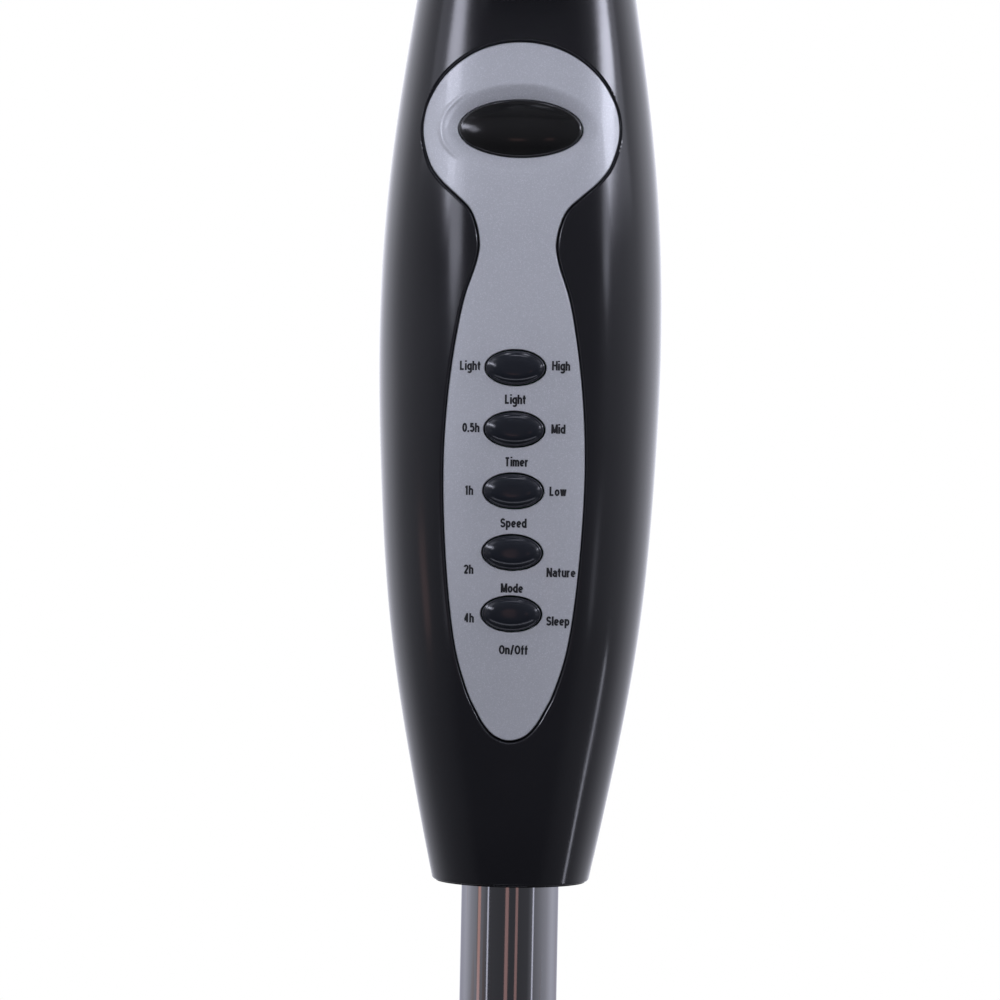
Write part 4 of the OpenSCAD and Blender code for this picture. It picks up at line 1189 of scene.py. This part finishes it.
def neck():
    top = housing_z + housing_h
    cone = [(9, top - 34), (15.2, top - 34), (15.2, top + 0.15), (18.9, top + 0.15), (19.2, top + 1.6),
            (22.3, top + 15), (22, top + 16.1), (9, top + 16.1)]
    cup = solid("neck_fork", *turned(cone, 0.5, 4, 128), MAT["gloss"], sharp=50)
    pieces = [cut(cup, [along_y(0, z, 2.06, 3, 30) for z in FRAME_SCREW_Z[1:]], 50)]
    ear = hull_outline([(0, PIVOT_Z, 12.5), (-13.6, top + 9.6, 1.4), (13.6, top + 9.6, 1.4)], 64)
    for x0, x1 in ((-22, -14.5), (14.5, 22)):
        lug = solid("lug", *moved(prism(ear, x0, x1, 1.0, 4), crosswise), MAT["gloss"], sharp=50)
        hole = prism(circle(4.1, 48, (0, PIVOT_Z)), x0 - 2, x1 + 2, 0.01, 1)
        pieces.append(cut(lug, [cutter(moved(hole, crosswise))], 50))
    joined("neck_fork", pieces, "column", "black_gloss", ["neck_bracket"])

    hexagon = soften([polar(6.9, a) for a in around(6)], 0.35, 3)
    bolt = together(moved(prism(hexagon, 0, 4.6, 0.7, 3), along_x(-29.3)),
                    moved(bar(0, 8.2, 0, 1.6, 0.3, 2, 48), along_x(-24.2)),
                    moved(bar(0, 4, 0, 62, 0.4, 3, 48), along_x(-26)))
    solid("tilt_bolt_steel", *bolt, MAT["steel"], "column", "plain_steel", ["tilt_bolt"], sharp=40)

    grip = prism([polar(14.2 + 1.35 * math.cos(8 * a), a) for a in around(288)], 30, 44, 1.8, 6)
    hub = turned([(4.05, 22.6), (9.2, 22.6), (10, 24), (10, 30.6), (4.05, 30.6)], 0.4, 4, 96)
    knob = solid("tilt_grip", *moved(together(grip, hub), along_x(0)), MAT["matte"], sharp=50)
    dent = spun([(0, 41.6), (8.4, 41.6), (9.4, 45), (0, 45)], 72)
    cut(knob, [cutter(moved(dent, along_x(0)))], 50)
    place(knob, "tilt_knob", "black_matte", ["tilt_knob"])


def tilt_block():
    """Barrel on the tilt axis, the swivel column above it and the arm that holds the swing link."""
    top, post = HEAD_Z - 58, (-34, 17.4)
    barrel = moved(bar(4.05, 12, -14.2, 14.2, 0.8, 5, 96), along_x(0))
    column = [(6.05, PIVOT_Z + 6.5), (11.6, PIVOT_Z + 6.5), (12.5, PIVOT_Z + 9), (12.5, top), (6.05, top)]
    body = solid("tilt_block", *turned(column, 0.7, 5, 112), MAT["matte"], sharp=50)
    cut(body, [along_y(0, HEAD_Z - 72 - housing_z, 2.06, 3, 30)], 50)
    arm = prism(hull_outline([(-4, 2, 7), (*post, 5)], 48), top - 5.9, top - 0.05, 0.8, 4)
    arm = solid("arm", *arm, MAT["matte"], sharp=50)
    cut(arm, [cutter(drill(6.3, top - 8, top + 2, 64))], 50)
    pin = turned([(0, top - 1), (4, top - 1), (4, top + 0.6), (2, top + 0.6), (2, top + 6), (0, top + 6)],
                 0.25, 3, 40, closed=False)
    others = [solid("part", *m, MAT["matte"], sharp=50) for m in (barrel, moved(pin, shift(*post)))]
    joined("tilt_block", [body, arm] + others, "tilt", "black_matte", ["tilt_bracket"])


def swing_parts():
    low, high = node_box("swing_link")
    eye, pivot = (-34, 20.53), (0, 20.53)
    plate = prism(hull_outline([(*eye, 8.4), (*pivot, 5)], 72), low.z, high.z, 0.5, 3)
    plate = solid("link_plate", *plate, MAT["steel"], sharp=50)
    cut(plate, [cutter(prism(circle(r, 64, c), low.z - 2, high.z + 2, 0.01, 1))
                for c, r in ((eye, 5.6), (pivot, 2.05))], 50)
    place(plate, "swing_link", "plain_steel", ["swing_link"])
    low, high = node_box("swing_crank")
    link, top, throw = low.z + 2.4, high.z, CRANK_Y + 8.03
    arm = prism(hull_outline([(0, CRANK_Y, 4), (0, throw, 4)], 56), link + 2.2, link + 4.2, 0.35, 3)
    shaft = turned([(0, link + 2.6), (3, link + 2.6), (3, top - 3.9), (4.4, top - 3.9), (4.4, top - 1),
                    (3, top - 1), (3, top), (0, top)], 0.2, 2, 48, closed=False)
    pin = bar(0, 2, low.z, link + 2.4, 0.3, 3, 40)
    crank = together(arm, moved(shaft, shift(0, CRANK_Y)), moved(pin, shift(0, throw)))
    solid("crank_arm", *crank, MAT["steel"], "swing_crank", "plain_steel", ["swing_crank"], sharp=45)
    bottom, top = (corner.z for corner in node_box("swing_knob"))
    profile = soften([(0, bottom), (2.95, bottom), (2.95, top - 31.5), (7.4, top - 31.5), (7.4, top - 7.5),
                      (10.5, top - 7.5), (11, top - 2.6), (9.4, top - 0.5), (4, top - 1.3), (0, top - 1.5)],
                     0.5, 5, closed=False)

    def groove(a, r, z):
        return -0.35 * max(0.0, math.cos(30 * a)) if r > 10 and z < top - 2.2 else 0
    grip = ribbed(profile, 240, groove, closed=False)
    solid("swing_pull", *moved(grip, shift(*KNOB_XY)), MAT["gloss"], "swing_knob", "black_gloss",
          ["swing_knob"], sharp=50)


# ---------- motor ----------
def forward(v):
    """Turns a piece made about +Z so that its +Z points forward along the blade's axis."""
    return Vector((v.x, -v.z, v.y + HEAD_Z))


def turned_forward(a):
    """Turns a piece made about +Z by the angle a, then its +Z to point forward."""
    c, s = math.cos(a), math.sin(a)
    return lambda v: forward(Vector((v.x * c - v.y * s, v.x * s + v.y * c, v.z)))


def box_outline(x0, x1, y0, y1, radius):
    return soften([(x0, y0), (x1, y0), (x1, y1), (x0, y1)], radius, 6)


def gearbox():
    """Cast case with its lid line, corner bosses and the knob's bore; the swivel stem and crank boss hang
    under it."""
    floor, wide = HEAD_Z - 50, box_outline(-21, 31, -16, 28, 4)
    blocks = [prism(wide, HEAD_Z - 22, HEAD_Z + 9.7, 1.2, 4), prism(wide, HEAD_Z + 10.3, HEAD_Z + 18, 1.2, 4),
              prism(box_outline(-20.4, 30.4, -15.4, 27.4, 3.6), HEAD_Z + 9, HEAD_Z + 11, 0.1, 1)]
    boss = bar(0, 3.4, HEAD_Z - 20, HEAD_Z + 17.8, 0.3, 2, 32)
    stem = [(0, HEAD_Z - 84), (6, HEAD_Z - 84), (6, HEAD_Z - 74.2), (4.8, HEAD_Z - 74.2),
            (4.8, HEAD_Z - 69.8), (6, HEAD_Z - 69.8), (6, floor - 1), (9, floor - 1), (9, floor + 6),
            (0, floor + 6)]
    under = [prism(box_outline(-10, 10, -10, 20, 3), floor + 1, HEAD_Z - 21, 1.0, 4)]
    under += [moved(boss, shift(x, y)) for x, y in ((-17, -12), (27, -12), (-17, 24), (27, 24))]
    under += [moved(bar(3.1, 6, floor - 1, floor + 4, 0.4, 3, 48), shift(0, CRANK_Y)),
              turned(stem, 0.3, 3, 72, closed=False)]
    pieces = [solid("case", *together(*under), MAT["cast"], sharp=40)]
    for block in blocks:
        bore = cutter(prism(circle(3.1, 48, KNOB_XY), HEAD_Z + 2, HEAD_Z + 22, 0.01, 1))
        pieces.append(cut(solid("case", *block, MAT["cast"]), [bore], 40))
    joined("gear_case", pieces, "head", "cast_metal", ["gearbox_case"])


def motor_covers():
    ring = [(9.5, 81.8), (58, 81.8), (60.6, 79), (60.6, 74.2), (63, 74.2), (63, 80), (60, 84.8), (24, 84.8),
            (24, 97), (21, 97), (21, 84.8), (9.5, 84.8)]
    face = solid("motor_face", *moved(turned(ring, 0.5, 4, 144), forward), MAT["gloss"], sharp=50)
    hole = moved(spun([(0, 70), (2.05, 70), (2.05, 82.6), (3.8, 82.6), (3.8, 93), (0, 93)], 32), shift(34, 0))
    cut(face, [cutter(moved(hole, turned_forward(math.radians(90 * k + 45)))) for k in range(4)], 50)
    place(face, "head", "black_gloss", ["motor_front_cover"])

    wall = 2.2
    profile = [(63, 74), (63, 62), (60, 42), (54, 20), (50, 0), (46, -20), (38, -36), (24, -46), (0, -49)]
    outer = [(max(r, 0), f) for r, f in curve_through(profile, 10)]
    inner = [(max(r - wall, 0), f + (wall if i else 0)) for i, (r, f) in enumerate(outer)]
    shell = solid("motor_housing", *moved(spun(outer + inner[::-1], 160), forward), MAT["gloss"], sharp=50)
    tools = [cutter(moved(drill(7.9, 0, 80, 64), shift(*KNOB_XY, HEAD_Z))),
             cutter(prism(box_outline(-14, 14, -12, 26, 2.5), HEAD_Z - 80, HEAD_Z - 30, 0.01, 1))]
    slot = prism(hull_outline([(14.5, 0, 1.5), (33.5, 0, 1.5)], 24), -76, -36, 0.01, 1)
    tools += [cutter(moved(slot, turned_forward(math.radians(30 * k)))) for k in range(12)]
    cut(shell, tools, 50)
    place(shell, "head", "black_gloss", ["motor_rear_cover"])


# ---------- cage ----------
# Radius and distance forward along each guard's wires; radius, distance forward and thickness of its hoops
REAR_PATH = [(74, 87.5), (140, 89), (188, 96), (209, 108), (218, 123.5)]
REAR_HOOPS = [(219, 123.5, 1.9), (75, 86.5, 1.4), (150, 91.1, 1.3), (188, 97.4, 1.2)]
FRONT_PATH = [(46, 176), (120, 174), (176, 166), (206, 148), (218, 130.5)]
FRONT_HOOPS = [(219, 130.5, 1.9), (47, 176, 1.6), (140, 171.6, 1.3), (184, 162.2, 1.2)]
WIRES = 96
WIRE_R = 0.95


def wires(path):
    """The guard's radial wires. Each one is flat: it has no thickness across its own radial plane."""
    wire = tube_along([(r, 0, f) for r, f in curve_through(path, 7)], WIRE_R, 7)
    return [moved(wire, lambda v, a=a: forward(Vector((*polar(v.x, a), v.z)))) for a in around(WIRES)]


def ring_bar(r, f, thick):
    return moved(spun(circle(thick, 12, (r, f)), 180), forward)


def cage():
    plate = [(24.4, 85), (76, 85), (76, 87.3), (70, 87.3), (68, 86.3), (32, 86.3), (30, 87.3), (24.4, 87.3)]
    plate = moved(turned(plate, 0.5, 4, 144), forward)
    for name, path, hoops, others, node in (
            ("rear_guard", REAR_PATH, REAR_HOOPS, [plate], "rear_grille"),
            ("front_guard", FRONT_PATH, FRONT_HOOPS, [], "front_grille")):
        bars = wires(path) + [ring_bar(*hoop) for hoop in hoops] + others
        solid(name, *together(*bars), MAT["wire"], "head", "grille_black", [node], sharp=50)
    hoop = [(221.4, 119), (223.2, 119), (225, 121.5), (225, 126.2), (224.4, 127), (225, 127.8), (225, 132.5),
            (223.2, 135), (221.4, 135)]
    solid("guard_ring", *moved(turned(hoop, 0.6, 4, 240), forward), MAT["gloss"], "head", "black_gloss",
          ["grille_ring"], sharp=50)
    nut = [polar(34 - 3.0 * max(0.0, math.cos(6 * a)) ** 3, a) for a in around(360)]
    body = solid("guard_nut", *moved(prism(nut, 87.6, 96.6, 1.4, 5), forward), MAT["matte"], sharp=50)
    cut(body, [cutter(moved(drill(24.1, 80, 110, 96), forward))], 50)
    place(body, "head", "black_matte", ["grille_nut"])
    badge = [(0, 178.4), (50, 178.4), (50, 180), (46.5, 182.6), (44.8, 183.2), (43.6, 182.9), (42, 184.3),
             (30, 186), (12, 186.8), (0, 187)]
    solid("cap_badge", *moved(turned(badge, 0.8, 5, 144, closed=False), forward), MAT["pearl"], "head",
          "panel_pearl", ["grille_badge"], sharp=60)


# ---------- blade ----------
BLADE_R = 190
BLADES = 5


def blade_point(u, v):
    """Centre surface of one blade: u runs from the hub to the tip and v from edge to edge."""
    side = abs(2 * v - 1)
    r = 30 + (BLADE_R - 30) * u * (1 - 0.055 * u * side ** 4)
    wide = 30 + 26 * math.sin(math.radians(150 * u))
    a = math.radians((v - 0.5) * wide + 16 * u)
    pitch = (v - 0.5) * (34 - 8 * u) + 3 * math.sin(math.pi * v)
    return np.array([r * math.cos(a), r * math.sin(a), 126 + pitch])


def blade_mesh():
    spans, chords, thick, edge, thinnest = 40, 30, 0.9, 1.6, 0.04

    def rounding(steps_in):
        """Share of the full thickness at so many steps in from an edge."""
        return np.sqrt(np.clip(1 - (1 - np.clip(steps_in / edge, 0, 1)) ** 2, thinnest, 1))

    skin = np.array([[blade_point(i / spans, j / chords) for j in range(chords + 1)]
                     for i in range(spans + 1)])
    n = np.cross(np.gradient(skin, axis=0), np.gradient(skin, axis=1))
    n /= np.linalg.norm(n, axis=2)[:, :, None]
    u, v = np.arange(spans + 1), np.arange(chords + 1)
    half = thick * rounding(np.minimum(v, chords - v))[None, :] * rounding(spans - u)[:, None]
    return closed_sheet(*([list(row) for row in skin + n * (side * half)[:, :, None]] for side in (1, -1)))


def blade():
    one = blade_mesh()
    pieces = [moved(one, turned_forward(a)) for a in around(BLADES)]
    hub = [(4.02, 104), (10, 104), (10, 139), (29, 139), (29, 104), (35.6, 104), (36, 105), (32.2, 142.4),
           (30.6, 144), (4.02, 144)]
    pieces.append(moved(turned(hub, 0.9, 5, 144), forward))
    rib = prism([(9, -0.9), (29.6, -0.9), (29.6, 0.9), (9, 0.9)], 112, 140, 0.2, 1)
    pieces += [moved(rib, turned_forward(math.radians(36 * k + 18))) for k in range(10)]
    solid("blades", *together(*pieces), MAT["blade"], "rotor", "blade_grey", ["fan_blade"], sharp=45)
    skirt = bar(4.05, 17, 144.2, 148.2, 0.8, 4, 96)
    lobes = [polar(13.4 + 2.3 * max(0.0, math.cos(6 * a)) ** 1.5, a) for a in around(240)]
    grip = prism(lobes, 147.8, 154, 1.0, 4)
    crown = turned([(0, 150.2), (12.4, 150.2), (11, 156.2), (0, 156.2)], 1.2, 5, 96, closed=False)
    solid("spinner_nut", *moved(together(skirt, grip, crown), forward), MAT["matte"], "rotor", "black_matte",
          ["blade_nut"], sharp=50)


# ---------- finish of the CAD nodes that stay in view ----------
SLOT_MATERIAL = {"black_gloss": "gloss", "black_matte": "matte", "panel_pearl": "pearl",
                 "window_black": "window", "button_black": "button", "pole_chrome": "chrome",
                 "chrome_trim": "trim", "foot_rubber": "rubber", "gland_rubber": "rubber",
                 "ballast": "stone", "cast_metal": "cast", "plain_steel": "steel",
                 "core_steel": "core", "coil_copper": "copper", "bush_bronze": "bronze",
                 "white_plastic": "white", "board_green": "board", "component_black": "part",
                 "led_lens": "lens", "grille_black": "wire", "blade_grey": "blade"}


def finish_nodes():
    for part in frame["record"]["subparts"]:
        node = frame["nodes"][part["node"]]
        mat = MAT[SLOT_MATERIAL[part["material_slot"]]]
        if not node.material_slots:
            node.data.materials.append(mat)
        for s in node.material_slots:
            s.material = mat


def floor():
    ground = solid("studio_floor", *drill(3600, -2, 0, 180), MAT["floor"], sharp=30)
    ground.visible_glossy = False
    ground.visible_diffuse = False


make_camera()
make_lights()
make_world()
floor()
housing_front()
housing_rear()
control_panel()
window_and_buttons()
legends()
pole()
collar_and_nut()
base()
fasteners()
neck()
tilt_block()
swing_parts()
gearbox()
motor_covers()
cage()
blade()
finish_nodes()
